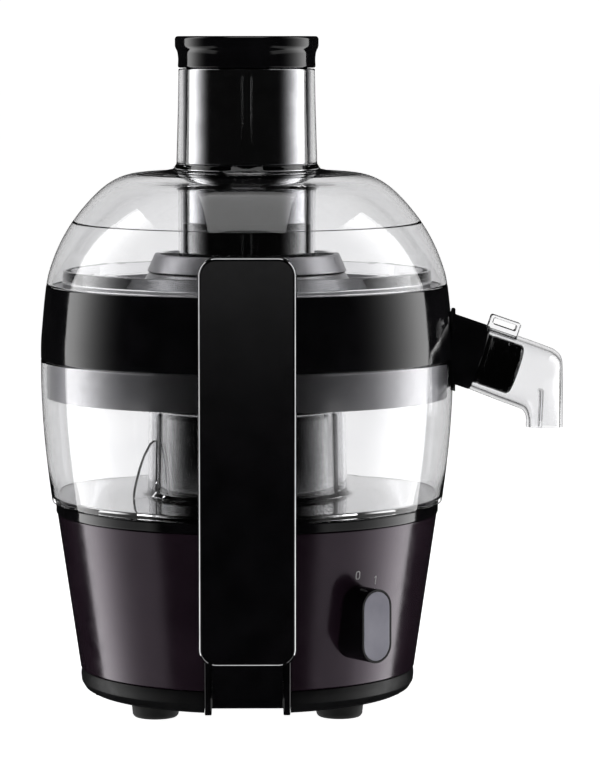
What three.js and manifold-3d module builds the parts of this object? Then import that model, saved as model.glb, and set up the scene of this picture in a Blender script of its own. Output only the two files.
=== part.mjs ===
// A centrifugal juicer: a motor base, a clear pulp container, a juice collector with a
// spinning sieve, a clear lid with a feed tube and pusher, a spout and two locking arms.
// Millimetres, +Z up. The model is drawn with the sieve's axis on x = y = 0 and the
// feet on z = 0, and the whole group is then moved to stand on the middle of its box.

import * as THREE from 'three';
import { mergeVertices } from 'three/addons/utils/BufferGeometryUtils.js';
import Module from 'manifold-3d';

const wasm = await Module();
wasm.setup();

// ------------------------------------------------------------------ driving dimensions

const GAP = 0.3; // clearance between neighbouring pieces
const ROUND = 32; // facets round the large turned pieces
const SMALL = 20; // facets round the small turned pieces
const TINY = 10; // facets round pins, screws and posts

// Motor base
const FOOT_R = 12;
const FOOT_HEIGHT = 7.2;
const FOOT_OFFSET = 48; // from the axis to each foot, along x and along y
const RIM_BOTTOM = 7.5; // underside of the bottom cover
const RIM_TOP = 19.4;
const RIM_R = 88.9;
const BASE_BOTTOM = 19.8;
const BASE_TOP = 102.2;
const BASE_R_BOTTOM = 89;
const BASE_R_TOP = 101;
const BASE_WALL = 2.5;
const DECK_TOP = 107.8;
const TOWER_R = 48.8;
const TOWER_TOP = 156;
const SCREW_R = 81.5; // from the axis to each bottom screw
const SCREW_ANGLES = [20, 160, 200, 340];

// Locking arms and their brackets
const SLOT_HALF = 22.2; // half the width of the slot in the base
const SLOT_TOP = 72.3;
const CHEEK_OUTER = 21.9;
const CHEEK_INNER = 18.4;
const BRACKET_BACK = 66;
const PIVOT_Y = 80; // hinge pin, from the axis
const PIVOT_Z = 22;
const PIN_R = 2;
const ARM_WIDTH = 49.3;
const ARM_BOTTOM = 37.8;
const ARM_TOP = 244;
const ARM_CORNER = 9;
const ARM_FACE = 119.2; // front face of the cover, from the axis
const ARM_STEP = 117.2; // front face of the core
const ARM_BACK = 111.4;
const STEM_HALF = 18; // half the width of the stem between the cheeks
const CATCH_REACH = 110; // the catch ends just outside the container's path

// Control knob
const KNOB_AZIMUTH = 36; // degrees from the front towards the spout
const KNOB_Z = 54;
const KNOB_WIDTH = 19;
const KNOB_LENGTH = 38.2;
const KNOB_FACE = 112.5; // from the axis
const KNOB_TURN = 30; // degrees from 0 to 1
const SPINDLE_R = 3;

// Motor
const SHAFT_R = 4;
const STATOR_R = 37;
const STATOR_BORE = 23.5;
const STATOR_BOTTOM = 48;
const STATOR_TOP = 84;
const ROTOR_R = 22.6;
const COUPLING_BOTTOM = 156.8;
const COUPLING_TOP = 168;
const COUPLING_R = 10;

// Pulp container
const CONTAINER_BOTTOM = 108.2;
const CONTAINER_TOP = 184;
const CONTAINER_FLOOR = 111.4;
const CONTAINER_WALL = 2.4;
const COLUMN_TOP = 160;
const FIN_ANGLE = 205; // degrees from +x
const FIN_THICKNESS = 3;

// Juice collector
const BAND_BOTTOM = 184.3;
const BAND_TOP = 222.9;
const BAND_R = 109.3;
const BAND_R_TOP = 106.3;
const SKIRT_BOTTOM = 164.5;
const TROUGH_FLOOR = 179.6;

// Sieve
const SIEVE_R = 83;
const SIEVE_RIM_R = 53.3;
const SIEVE_HOLE_R = 45.9;
const SIEVE_TOP = 239.5;
const SIEVE_SEAM = 230.2;
const SIEVE_BASE_BOTTOM = 168.6;

// Lid, feed tube and pusher
const LID_BOTTOM = 223.2;
const LID_STEP = 257; // the wall is thicker above this height
const TUBE_TOP = 336.9;
const TUBE_BOTTOM = 186;
const TUBE_BORE_R = 34.3;
const PUSHER_R = 33.9;
const PUSHER_BOTTOM = 190;
const CAP_BOTTOM = 337.4;
const CAP_TOP = 354;
const CAP_R = 37.9;

// Outlet and spout, along an axis that falls away from the collector
const OUTLET_TILT = THREE.MathUtils.degToRad(19);
const OUTLET_POINT = new THREE.Vector3(123.4, 0, 183.9); // on the axis, at the sleeve's end
const SLEEVE_R = 17.8;
const NOZZLE_R = 13.6;
const NOZZLE_LENGTH = 21;
const OUTLET_TUBE_R = 10.6;
const OUTLET_BORE_R = 8.4;
const SPOUT_R = 17.5;
const SPOUT_WALL = 2.3;
const SPOUT_FRONT = 167.9;
const SPOUT_MOUTH = 147;
const DOWNSPOUT_R = 9.75;

// --------------------------------------------------------------------------- materials

function finish(color, roughness, metalness = 0) {
  return new THREE.MeshStandardMaterial({ color, roughness, metalness });
}

const aubergine = finish(0x1d1619, 0.15);
const glossBlack = finish(0x08080a, 0.12);
const satinBlack = finish(0x101012, 0.45);
const clear = finish(0xe6e8ea, 0.05);
const silverPlastic = finish(0x9a9aa0, 0.3, 0.3);
const knobGrey = finish(0x62616a, 0.4);
const rubber = finish(0x0c0c0c, 0.9);
const steel = finish(0xb8babd, 0.25, 1);
const darkSteel = finish(0x5a5c60, 0.4, 1);
const copper = finish(0xa8602c, 0.4, 1);
const chrome = finish(0xd8dadd, 0.08, 1);
const carbon = finish(0x1c1c1e, 0.7);

// -------------------------------------------------------------------- geometry helpers

// Merges shared corners, drops triangles with no area and turns the faces outwards.
function closed(geometry) {
  const bare = new THREE.BufferGeometry();
  bare.setAttribute('position', geometry.getAttribute('position').clone());
  if (geometry.index) bare.setIndex(geometry.index.clone());
  const merged = mergeVertices(bare, 1e-4);
  const position = merged.getAttribute('position');
  const corner = [0, 1, 2].map(() => new THREE.Vector3());
  const triangles = [];
  let volume = 0;
  for (let i = 0; i < merged.index.count; i += 3) {
    const ids = [0, 1, 2].map((k) => merged.index.getX(i + k));
    if (new Set(ids).size < 3) continue;
    ids.forEach((id, k) => corner[k].fromBufferAttribute(position, id));
    volume += corner[0].dot(corner[1].clone().cross(corner[2]));
    triangles.push(ids);
  }
  if (volume < 0) triangles.forEach((ids) => ids.reverse());
  merged.setIndex(triangles.flat());
  return merged;
}

// A solid turned round z from [radius, height] points: a ring, or closed on the axis.
function turned(profile, segments = ROUND) {
  const points = profile.map(([r, z]) => new THREE.Vector2(r, z));
  if (profile[0][0] > 0) points.push(points[0].clone());
  const lathe = new THREE.LatheGeometry(points, segments);
  return closed(lathe.rotateX(Math.PI / 2));
}

function disc(radius, low, high, segments = SMALL) {
  return turned([[0, low], [radius, low], [radius, high], [0, high]], segments);
}

function ring(inner, outer, low, high, segments = SMALL) {
  return turned([[inner, low], [outer, low], [outer, high], [inner, high]], segments);
}

function block(low, high) {
  const size = low.map((value, k) => high[k] - value);
  const centre = low.map((value, k) => (high[k] + value) / 2);
  return closed(new THREE.BoxGeometry(...size).translate(...centre));
}

function outline(points) {
  return new THREE.Shape(points.map(([x, y]) => new THREE.Vector2(x, y)));
}

function roundedRectangle(width, height, radius) {
  const x = width / 2 - radius;
  const y = height / 2 - radius;
  const shape = new THREE.Shape();
  shape.absarc(x, -y, radius, -Math.PI / 2, 0);
  shape.absarc(x, y, radius, 0, Math.PI / 2);
  shape.absarc(-x, y, radius, Math.PI / 2, Math.PI);
  shape.absarc(-x, -y, radius, Math.PI, Math.PI * 1.5);
  return shape;
}

function prism(shape, depth, curveSegments = 3) {
  return new THREE.ExtrudeGeometry(shape, { depth, bevelEnabled: false, curveSegments });
}

// An outline drawn in x and z, standing between y = front and y = back.
function upright(shape, front, back) {
  return closed(prism(shape, back - front).rotateX(Math.PI / 2).translate(0, back, 0));
}

// An outline drawn in y and z, reaching from -half to +half along x.
function sideways(shape, half) {
  const axes = new THREE.Matrix4().makeBasis(
    new THREE.Vector3(0, 1, 0),
    new THREE.Vector3(0, 0, 1),
    new THREE.Vector3(1, 0, 0),
  );
  return closed(prism(shape, 2 * half).translate(0, 0, -half).applyMatrix4(axes));
}

function placed(geometry, matrix) {
  return geometry.clone().applyMatrix4(matrix);
}

function toManifold(geometry) {
  const body = closed(geometry);
  const mesh = new wasm.Mesh({
    numProp: 3,
    vertProperties: new Float32Array(body.getAttribute('position').array),
    triVerts: new Uint32Array(body.index.array),
  });
  return new wasm.Manifold(mesh);
}

function toGeometry(manifold) {
  const mesh = manifold.getMesh();
  const geometry = new THREE.BufferGeometry();
  geometry.setAttribute('position', new THREE.BufferAttribute(mesh.vertProperties, 3));
  geometry.setIndex(new THREE.BufferAttribute(mesh.triVerts, 1));
  return geometry;
}

function cut(body, ...tools) {
  const start = toManifold(body);
  return toGeometry(tools.reduce((solid, tool) => solid.subtract(toManifold(tool)), start));
}

function join(body, ...others) {
  const start = toManifold(body);
  return toGeometry(others.reduce((solid, other) => solid.add(toManifold(other)), start));
}

function common(body, other) {
  return toGeometry(toManifold(body).intersect(toManifold(other)));
}

function onCircle(radius, degrees, z = 0) {
  const angle = THREE.MathUtils.degToRad(degrees);
  return [radius * Math.cos(angle), radius * Math.sin(angle), z];
}

function copiesRound(geometry, count, start = 0) {
  const step = (2 * Math.PI) / count;
  return Array.from({ length: count }, (_, k) => geometry.clone().rotateZ(start + k * step));
}

const model = new THREE.Group();

function add(parent, name, geometry, material, position = [0, 0, 0]) {
  const mesh = new THREE.Mesh(geometry, material);
  mesh.name = name;
  mesh.position.set(...position);
  parent.add(mesh);
  return mesh;
}

// -------------------------------------------------------------------------- motor base

function baseRadius(z) {
  const slope = (BASE_R_TOP - BASE_R_BOTTOM) / (BASE_TOP - BASE_BOTTOM);
  return BASE_R_BOTTOM + (z - BASE_BOTTOM) * slope;
}

function slotTool(low, high) {
  const front = block([-SLOT_HALF, -130, low], [SLOT_HALF, GAP - BRACKET_BACK, high]);
  const rear = front.clone().rotateZ(Math.PI);
  return [front, rear];
}

// A screw boss under the shell's wall, tied to it by a web.
function screwBoss(degrees) {
  const post = disc(5, 20, 45, TINY).translate(...onCircle(SCREW_R, degrees));
  const web = block([SCREW_R, -2, 22], [BASE_R_BOTTOM - 0.8, 2, 45]);
  return [post, web.rotateZ(THREE.MathUtils.degToRad(degrees))];
}

const knobFrame = (() => {
  const angle = THREE.MathUtils.degToRad(KNOB_AZIMUTH);
  const right = new THREE.Vector3(Math.cos(angle), Math.sin(angle), 0);
  const up = new THREE.Vector3(0, 0, 1);
  const out = new THREE.Vector3(Math.sin(angle), -Math.cos(angle), 0);
  return new THREE.Matrix4().makeBasis(right, up, out).setPosition(0, 0, KNOB_Z);
})();

const GLAND_ANGLE = 125; // degrees from +x, at the back on the side away from the spout
const GLAND_Z = 33;
const glandFrame = (() => {
  const angle = THREE.MathUtils.degToRad(GLAND_ANGLE);
  const out = new THREE.Vector3(Math.cos(angle), Math.sin(angle), 0);
  const turn = new THREE.Quaternion().setFromUnitVectors(new THREE.Vector3(0, 0, 1), out);
  return new THREE.Matrix4().makeRotationFromQuaternion(turn).setPosition(0, 0, GLAND_Z);
})();

function baseShell() {
  const wall = turned([
    [BASE_R_BOTTOM - BASE_WALL, BASE_BOTTOM],
    [BASE_R_BOTTOM, BASE_BOTTOM],
    [BASE_R_TOP, BASE_TOP],
    [BASE_R_TOP - BASE_WALL, BASE_TOP],
  ]);
  const bosses = SCREW_ANGLES.flatMap(screwBoss);
  const pilots = SCREW_ANGLES.map((a) => disc(2, 10, 40, TINY).translate(...onCircle(SCREW_R, a)));
  const spindleHole = placed(disc(SPINDLE_R + 1, 60, 130, TINY), knobFrame);
  const glandHole = placed(disc(6.4, 60, 130, TINY), glandFrame);
  const holes = [...slotTool(0, SLOT_TOP), ...pilots, spindleHole, glandHole];
  return cut(join(wall, ...bosses), ...holes);
}

function motorCover() {
  return turned([
    [BASE_R_TOP - BASE_WALL, BASE_TOP + GAP],
    [BASE_R_TOP + 0.6, BASE_TOP + GAP],
    [BASE_R_TOP + 0.6, DECK_TOP],
    [TOWER_R, DECK_TOP],
    [TOWER_R - 0.8, TOWER_TOP - 2],
    [TOWER_R - 2.8, TOWER_TOP],
    [9.6, TOWER_TOP],
    [9.6, TOWER_TOP - 9],
    [12.5, TOWER_TOP - 9],
    [12.5, TOWER_TOP - 2.6],
    [TOWER_R - 3.4, TOWER_TOP - 2.6],
    [TOWER_R - 2.6, DECK_TOP - 2.6],
    [BASE_R_TOP - BASE_WALL, DECK_TOP - 2.6],
  ]);
}

function bottomCover() {
  const dish = turned([
    [0, RIM_BOTTOM],
    [83.5, RIM_BOTTOM],
    [86.6, 9.2],
    [88.5, 12.4],
    [RIM_R, 16.2],
    [RIM_R - 0.5, RIM_TOP],
    [RIM_R - 3.4, RIM_TOP],
    [RIM_R - 4.4, 10.5],
    [0, 10.5],
  ]);
  const spacers = SCREW_ANGLES.map((a) => disc(4.6, 9, 19.6, TINY).translate(...onCircle(SCREW_R, a)));
  const holes = SCREW_ANGLES.map((a) => disc(2.2, 0, 30, TINY).translate(...onCircle(SCREW_R, a)));
  const vent = block([24, -1.6, 0], [44, 1.6, 20]);
  const vents = copiesRound(vent, 8, Math.PI / 8);
  return cut(join(dish, ...spacers), ...holes, ...vents, ...slotTool(0, 30));
}

function foot() {
  return turned([
    [0, 0],
    [FOOT_R - 1.2, 0],
    [FOOT_R, 1.4],
    [FOOT_R + 0.6, FOOT_HEIGHT],
    [0, FOOT_HEIGHT],
  ], SMALL);
}

function bottomScrew() {
  return turned([
    [0, 5.4],
    [3.4, 5.4],
    [3.4, 7.2],
    [1.7, 7.2],
    [1.7, 37],
    [0, 38.5],
  ], TINY);
}

function cordGland() {
  const wall = baseRadius(GLAND_Z);
  const body = turned([
    [3.4, wall - 8],
    [8.6, wall - 8],
    [8.6, wall - 4.6],
    [6, wall - 4.6],
    [6, wall + 2.2],
    [9, wall + 2.2],
    [8.4, wall + 5],
    [6.2, wall + 9],
    [3.4, wall + 9],
  ], SMALL);
  return placed(body, glandFrame);
}

function addBase() {
  add(model, 'base_shell', baseShell(), aubergine);
  add(model, 'motor_cover', motorCover(), glossBlack);
  add(model, 'bottom_cover', bottomCover(), satinBlack);
  add(model, 'cord_gland', cordGland(), rubber);
  const corners = { front_left: [-1, -1], front_right: [1, -1], rear_left: [-1, 1], rear_right: [1, 1] };
  for (const [name, [x, y]] of Object.entries(corners)) {
    add(model, `foot_${name}`, foot(), rubber, [x * FOOT_OFFSET, y * FOOT_OFFSET, 0]);
  }
  SCREW_ANGLES.forEach((angle, k) => {
    add(model, `bottom_screw_${k + 1}`, bottomScrew(), darkSteel, onCircle(SCREW_R, angle));
  });
}

// ------------------------------------------------------------------------ locking arms

// A channel set into the base's slot: two cheeks, a back wall and a roof.
function armBracket() {
  const front = (z) => -baseRadius(z) - 1.6;
  const cheek = outline([
    [-BRACKET_BACK, RIM_BOTTOM],
    [-BRACKET_BACK, SLOT_TOP - GAP],
    [front(SLOT_TOP), SLOT_TOP - GAP],
    [front(BASE_BOTTOM), 12],
    [front(BASE_BOTTOM) + 2.5, RIM_BOTTOM],
  ]);
  const space = outline([
    [-BRACKET_BACK - 2.4, 0],
    [-BRACKET_BACK - 2.4, SLOT_TOP - 2.7],
    [-130, SLOT_TOP - 2.7],
    [-130, 0],
  ]);
  const pinHole = disc(PIN_R + GAP, -40, 40, TINY).rotateY(Math.PI / 2);
  pinHole.translate(0, -PIVOT_Y, PIVOT_Z);
  return cut(sideways(cheek, CHEEK_OUTER), sideways(space, CHEEK_INNER), pinHole);
}

function hingePin() {
  const half = CHEEK_OUTER - 0.2;
  return disc(PIN_R, -half, half, TINY).rotateY(Math.PI / 2);
}

// The stem runs from behind the plate, through the slot, to a round eye on the pin.
function armStem() {
  const eye = disc(7, -STEM_HALF, STEM_HALF, SMALL).rotateY(Math.PI / 2);
  eye.translate(0, -PIVOT_Y, PIVOT_Z);
  const web = outline([
    [-PIVOT_Y + 1, PIVOT_Z - 6.9],
    [-100, 18],
    [-100, 40],
    [-ARM_BACK - 1, 47],
    [-ARM_BACK - 1, 66],
    [-PIVOT_Y + 5.6, PIVOT_Z + 4],
  ]);
  return join(eye, sideways(web, STEM_HALF));
}

function armPlate(inset, front, back) {
  const width = ARM_WIDTH - 2 * inset;
  const height = ARM_TOP - ARM_BOTTOM - 2 * inset;
  const plate = upright(roundedRectangle(width, height, ARM_CORNER - inset), -front, -back);
  return plate.translate(0, 0, (ARM_TOP + ARM_BOTTOM) / 2);
}

function armCore() {
  const plate = armPlate(0, ARM_STEP, ARM_BACK);
  const pinHole = disc(PIN_R + GAP, -40, 40, TINY).rotateY(Math.PI / 2);
  pinHole.translate(0, -PIVOT_Y, PIVOT_Z);
  const pocket = block([-14.3, -114.7, 225.7], [14.3, -100, 240.3]);
  return cut(join(plate, armStem()), pinHole, pocket);
}

function armTrim() {
  const front = ARM_FACE - 0.2;
  return cut(armPlate(0.4, front, ARM_STEP + GAP), armPlate(1.2, front + 1, ARM_STEP - 1));
}

function armCatch() {
  const body = block([-14, -114.4, 226], [14, -CATCH_REACH - 1.4, 240]);
  const nose = block([-12, -112, 228], [12, -CATCH_REACH, 233]);
  return join(body, nose);
}

function addArm(side, turn) {
  const arm = new THREE.Group();
  arm.rotation.z = turn;
  model.add(arm);
  add(arm, `${side}_arm_bracket`, armBracket(), satinBlack);
  add(arm, `${side}_hinge_pin`, hingePin(), steel, [0, -PIVOT_Y, PIVOT_Z]);
  add(arm, `${side}_arm_core`, armCore(), glossBlack);
  add(arm, `${side}_arm_cover`, armPlate(1.5, ARM_FACE, ARM_STEP + GAP), glossBlack);
  add(arm, `${side}_arm_trim`, armTrim(), chrome);
  add(arm, `${side}_arm_catch`, armCatch(), satinBlack);
  add(arm, `${side}_safety_switch`, block([-10, -62, 22], [10, -52, 38]), carbon);
}

// -------------------------------------------------------------------------------- knob

function stadium(width, length) {
  return roundedRectangle(width, length, width / 2 - 0.01);
}

// The knob's back is cut clear of the base's sloping wall through its whole turn.
function knobBody() {
  const depth = KNOB_FACE - 88;
  const body = prism(stadium(KNOB_WIDTH, KNOB_LENGTH), depth).translate(0, 0, 88);
  const clearance = 0.7;
  const wall = turned([
    [0, 0],
    [baseRadius(0) + clearance, 0],
    [baseRadius(110) + clearance, 110],
    [0, 110],
  ]);
  const toKnob = knobFrame.clone().invert();
  const turns = [0, 10, 20, KNOB_TURN].map((a) => {
    const back = new THREE.Matrix4().makeRotationZ(THREE.MathUtils.degToRad(a));
    return placed(wall, back.multiply(toKnob));
  });
  const faceSeat = prism(stadium(KNOB_WIDTH - 1.4, KNOB_LENGTH - 1.4), 5).translate(0, 0, KNOB_FACE - 1.6);
  const socket = disc(SPINDLE_R + GAP, 80, KNOB_FACE - 6, TINY);
  return cut(body, ...turns, faceSeat, socket);
}

function knobFacePlate() {
  const plate = prism(stadium(KNOB_WIDTH - 2, KNOB_LENGTH - 2), 1.3);
  return closed(plate.translate(0, 0, KNOB_FACE - 1.3));
}

function switchBody() {
  const body = block([-13, -15, 64], [13, 15, 82]);
  const collar = disc(7, 80, 89, TINY);
  return cut(join(body, collar), disc(SPINDLE_R + GAP, 60, 100, TINY));
}

function addKnob() {
  const knob = new THREE.Group();
  knob.applyMatrix4(knobFrame);
  model.add(knob);
  add(knob, 'knob', knobBody(), glossBlack);
  add(knob, 'knob_face', knobFacePlate(), knobGrey);
  add(knob, 'knob_spindle', disc(SPINDLE_R, 66, KNOB_FACE - 7, TINY), satinBlack);
  add(knob, 'switch_body', switchBody(), carbon);
}

// ------------------------------------------------------------------------------- motor

function statorStack() {
  const stack = ring(STATOR_BORE, STATOR_R, STATOR_BOTTOM, STATOR_TOP);
  const window = block([-12, 25, STATOR_BOTTOM - 1], [12, 33, STATOR_TOP + 1]);
  return cut(stack, window, window.clone().rotateZ(Math.PI));
}

// A wound coil through the stator's window, bulging over both of its ends.
function fieldCoil() {
  return block([-11, 25.6, STATOR_BOTTOM - 5], [11, 32.4, STATOR_TOP + 3.4]);
}

function rotorCore() {
  const core = ring(SHAFT_R + GAP, ROTOR_R, 50, 82);
  const slot = block([ROTOR_R - 5, -1.3, 40], [ROTOR_R + 2, 1.3, 90]);
  return cut(core, ...copiesRound(slot, 12));
}

function motorShaft() {
  return turned([
    [0, 22],
    [SHAFT_R - 0.6, 22],
    [SHAFT_R, 22.6],
    [SHAFT_R, COUPLING_TOP - 3],
    [0, COUPLING_TOP - 3],
  ], SMALL);
}

function coolingFan() {
  const plate = ring(SHAFT_R + GAP, 42, 94, 95.6);
  const hub = ring(SHAFT_R + GAP, 9, 94, 102);
  const blade = block([8.5, -0.7, 95], [41, 0.7, 102]);
  return join(plate, hub, ...copiesRound(blade, 9));
}

function hexagon(radius, low, high) {
  return disc(radius, low, high, 6);
}

function driveCoupling() {
  const flange = disc(13, COUPLING_BOTTOM, COUPLING_BOTTOM + 3);
  const drive = hexagon(COUPLING_R, COUPLING_BOTTOM, COUPLING_TOP);
  return cut(join(flange, drive), disc(SHAFT_R + GAP, 150, COUPLING_TOP - 2.6));
}

function upperBracket() {
  const plate = ring(14, 60, 88, 91);
  const posts = [45, 135, 225, 315].map((a) => disc(4, 90, 104.9, TINY).translate(...onCircle(55, a)));
  return join(plate, ...posts);
}

function lowerBracket() {
  const plate = ring(10, 40, 24, 27);
  const boss = ring(10, 13.5, 24, 33);
  const posts = [45, 135, 225, 315].map((a) => {
    return disc(3.4, 26, STATOR_BOTTOM - GAP, TINY).translate(...onCircle(30.5, a));
  });
  return join(plate, boss, ...posts);
}

function brushHolder() {
  const body = block([15, -4.6, 27.3], [33, 4.6, 44]);
  return cut(body, block([10, -3, 36], [40, 3, 42]));
}

function addMotor() {
  add(model, 'motor_stator', statorStack(), darkSteel);
  add(model, 'motor_upper_bracket', upperBracket(), darkSteel);
  add(model, 'motor_lower_bracket', lowerBracket(), darkSteel);
  add(model, 'upper_bearing', ring(SHAFT_R + 0.3, 9.1, TOWER_TOP - 8.6, TOWER_TOP - 0.6, TINY), steel);
  add(model, 'lower_bearing', ring(SHAFT_R + 0.3, 9.4, 27, 32, TINY), steel);
  for (const [side, turn] of [['right', 0], ['left', Math.PI]]) {
    const half = new THREE.Group();
    half.rotation.z = turn;
    model.add(half);
    add(half, `brush_holder_${side}`, brushHolder(), carbon);
    add(half, `carbon_brush_${side}`, block([11.4, -2.7, 36.3], [28, 2.7, 41.7]), carbon);
    add(half, `field_coil_${side}`, fieldCoil(), copper);
  }
  add(model, 'motor_shaft', motorShaft(), steel);
  add(model, 'rotor_core', rotorCore(), darkSteel);
  add(model, 'commutator', ring(SHAFT_R + GAP, 11, 34.6, 43.4, TINY), copper);
  add(model, 'cooling_fan', coolingFan(), satinBlack);
  add(model, 'drive_coupling', driveCoupling(), satinBlack);
}

// ---------------------------------------------------------------------- pulp container

const outletFrame = new THREE.Matrix4().makeRotationY(Math.PI / 2 + OUTLET_TILT).setPosition(OUTLET_POINT);

function outletHole() {
  return placed(disc(OUTLET_TUBE_R + 0.4, -40, -6), outletFrame);
}

const containerCurve = new THREE.SplineCurve([
  new THREE.Vector2(103.7, CONTAINER_BOTTOM),
  new THREE.Vector2(106.4, 129.2),
  new THREE.Vector2(108.4, 150.6),
  new THREE.Vector2(109.3, 172),
]);

function containerBody() {
  const outside = containerCurve.getPoints(4).map((p) => [p.x, p.y]);
  const inside = outside.slice(1).reverse().map(([r, z]) => [r - CONTAINER_WALL, z]);
  return turned([
    ...outside,
    [BAND_R, CONTAINER_TOP],
    [BAND_R - CONTAINER_WALL, CONTAINER_TOP],
    ...inside,
    [101.3, CONTAINER_FLOOR],
    [55.5, CONTAINER_FLOOR],
    [53.3, 114],
    [52.2, COLUMN_TOP - 1.5],
    [50.7, COLUMN_TOP],
    [22, COLUMN_TOP],
    [22, COLUMN_TOP - 2.2],
    [49.9, COLUMN_TOP - 2.2],
    [51.2, CONTAINER_BOTTOM],
  ]);
}

// A leaf-shaped fin on the floor that stops the pulp from circling.
function pulpFin() {
  const leaf = outline([[52, 110], [66, 110], [65, 119], [61, 131], [54.5, 142.5], [52, 142.5]]);
  const flat = prism(leaf, FIN_THICKNESS).translate(0, 0, -FIN_THICKNESS / 2);
  const fin = closed(flat.rotateX(Math.PI / 2));
  return fin.rotateZ(THREE.MathUtils.degToRad(FIN_ANGLE));
}

// The outlet passes through a notch in the container's top edge.
function addContainer() {
  const body = cut(join(containerBody(), pulpFin()), outletHole());
  add(model, 'pulp_container', body, clear);
}

// --------------------------------------------------------------------- juice collector

function collectorBand() {
  const band = turned([
    [BAND_R - 2.5, BAND_BOTTOM],
    [BAND_R, BAND_BOTTOM],
    [BAND_R, 193],
    [107.4, 214],
    [BAND_R_TOP, BAND_TOP],
    [BAND_R_TOP - 2.2, BAND_TOP],
  ]);
  return cut(band, outletHole());
}

// Skirt, wall, shelf with a locating lip for the lid, and the juice trough.
function collectorBowl() {
  const bowl = turned([
    [106.3, SKIRT_BOTTOM],
    [106.4, 184.6],
    [103.7, BAND_TOP - GAP],
    [98.6, BAND_TOP - GAP],
    [97.4, 231],
    [95.6, 231],
    [93.8, 224.2],
    [93.8, 220.4],
    [101.4, 220.4],
    [103.9, 184],
    [103.9, TROUGH_FLOOR],
    [87.9, TROUGH_FLOOR],
    [87.3, 191],
    [85.6, 191],
    [85.6, TROUGH_FLOOR - 2.2],
    [104.1, TROUGH_FLOOR - 2.2],
    [104.1, SKIRT_BOTTOM],
  ]);
  return cut(bowl, outletHole());
}

function outletNozzle() {
  const sleeve = placed(disc(SLEEVE_R, -24, 0), outletFrame);
  const reach = placed(disc(SLEEVE_R + 3.4, -40, 10), outletFrame);
  const flange = common(ring(BAND_R + 0.4, BAND_R + 2.4, 166, 210, ROUND), reach);
  const stack = disc(BAND_R + 0.4, 100, 260, ROUND);
  const tube = placed(disc(OUTLET_TUBE_R, -24.5, 0), outletFrame);
  const tip = placed(turned([
    [0, -1],
    [NOZZLE_R, -1],
    [NOZZLE_R, NOZZLE_LENGTH - 1.5],
    [NOZZLE_R - 1.5, NOZZLE_LENGTH],
    [0, NOZZLE_LENGTH],
  ], SMALL), outletFrame);
  const bore = placed(disc(OUTLET_BORE_R, -40, 40, 12), outletFrame);
  return cut(join(cut(join(sleeve, flange), stack), tube, tip), bore);
}

function addCollector() {
  add(model, 'collector_band', collectorBand(), glossBlack);
  add(model, 'collector_bowl', collectorBowl(), silverPlastic);
  add(model, 'outlet_nozzle', outletNozzle(), satinBlack);
}

// ------------------------------------------------------------------------------- spout

// The spout seen from the side, in x and z, inset by its wall for the hollow.
function spoutSide(inset) {
  const shape = new THREE.Shape();
  const corner = 6 - inset / 2;
  const front = SPOUT_FRONT - inset;
  shape.moveTo(100, 150 - 4 * inset);
  shape.lineTo(100, 230);
  shape.lineTo(front - corner, 230);
  shape.lineTo(front - corner, 189 - inset);
  shape.quadraticCurveTo(front, 187.4 - inset, front, 189 - inset - corner);
  shape.lineTo(front, 150 - 4 * inset);
  return upright(shape, -25, 25);
}

function spoutTab() {
  return placed(block([-SPOUT_R - 6.6, -5, -3.4], [-SPOUT_R - 0.9, 5, 14.6]), outletFrame);
}

function tabRoot() {
  return placed(block([-SPOUT_R - 2, -5, 0.6], [-SPOUT_R + 1.4, 5, 14.6]), outletFrame);
}

function spoutBody() {
  const centre = SPOUT_FRONT - DOWNSPOUT_R;
  const barrel = common(placed(disc(SPOUT_R, GAP, 70), outletFrame), spoutSide(0));
  const down = disc(DOWNSPOUT_R, SPOUT_MOUTH, 175).translate(centre, 0, 0);
  const inner = placed(disc(SPOUT_R - SPOUT_WALL, -10, 70), outletFrame);
  const hollow = common(inner, spoutSide(SPOUT_WALL));
  const drain = disc(DOWNSPOUT_R - 2, SPOUT_MOUTH - 5, 172).translate(centre, 0, 0);
  return cut(join(barrel, down, spoutTab(), tabRoot()), hollow, drain);
}

// ------------------------------------------------------------------------------- sieve

function sieveRim() {
  return turned([
    [SIEVE_HOLE_R, SIEVE_SEAM],
    [SIEVE_RIM_R, SIEVE_SEAM],
    [SIEVE_RIM_R - 0.6, SIEVE_TOP - 3],
    [SIEVE_RIM_R - 4, SIEVE_TOP],
    [SIEVE_HOLE_R + 0.8, SIEVE_TOP],
    [SIEVE_HOLE_R, SIEVE_TOP - 1.5],
  ]);
}

function sieveCone() {
  return turned([
    [SIEVE_R - 1.4, 176],
    [SIEVE_R, 176],
    [SIEVE_R, 184],
    [SIEVE_R - 1.4, 188],
    [51.6, SIEVE_SEAM - GAP],
    [49.6, SIEVE_SEAM - GAP],
    [SIEVE_R - 2.9, 187.2],
    [SIEVE_R - 1.4, 183.6],
  ]);
}

// The basket's floor, its posts up to the cone, and the socket that the motor drives.
function sieveBase() {
  const floor = disc(SIEVE_R, SIEVE_BASE_BOTTOM, SIEVE_BASE_BOTTOM + 2.9, ROUND);
  const post = block([SIEVE_R - 3.8, -4, SIEVE_BASE_BOTTOM + 1], [SIEVE_R - 0.9, 4, 176 - GAP]);
  const hub = disc(17, COLUMN_TOP + GAP, SIEVE_BASE_BOTTOM + 1);
  const socket = hexagon(COUPLING_R + 0.6, COLUMN_TOP - 5, COUPLING_TOP + 0.5);
  return cut(join(floor, hub, ...copiesRound(post, 6)), socket);
}

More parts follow.
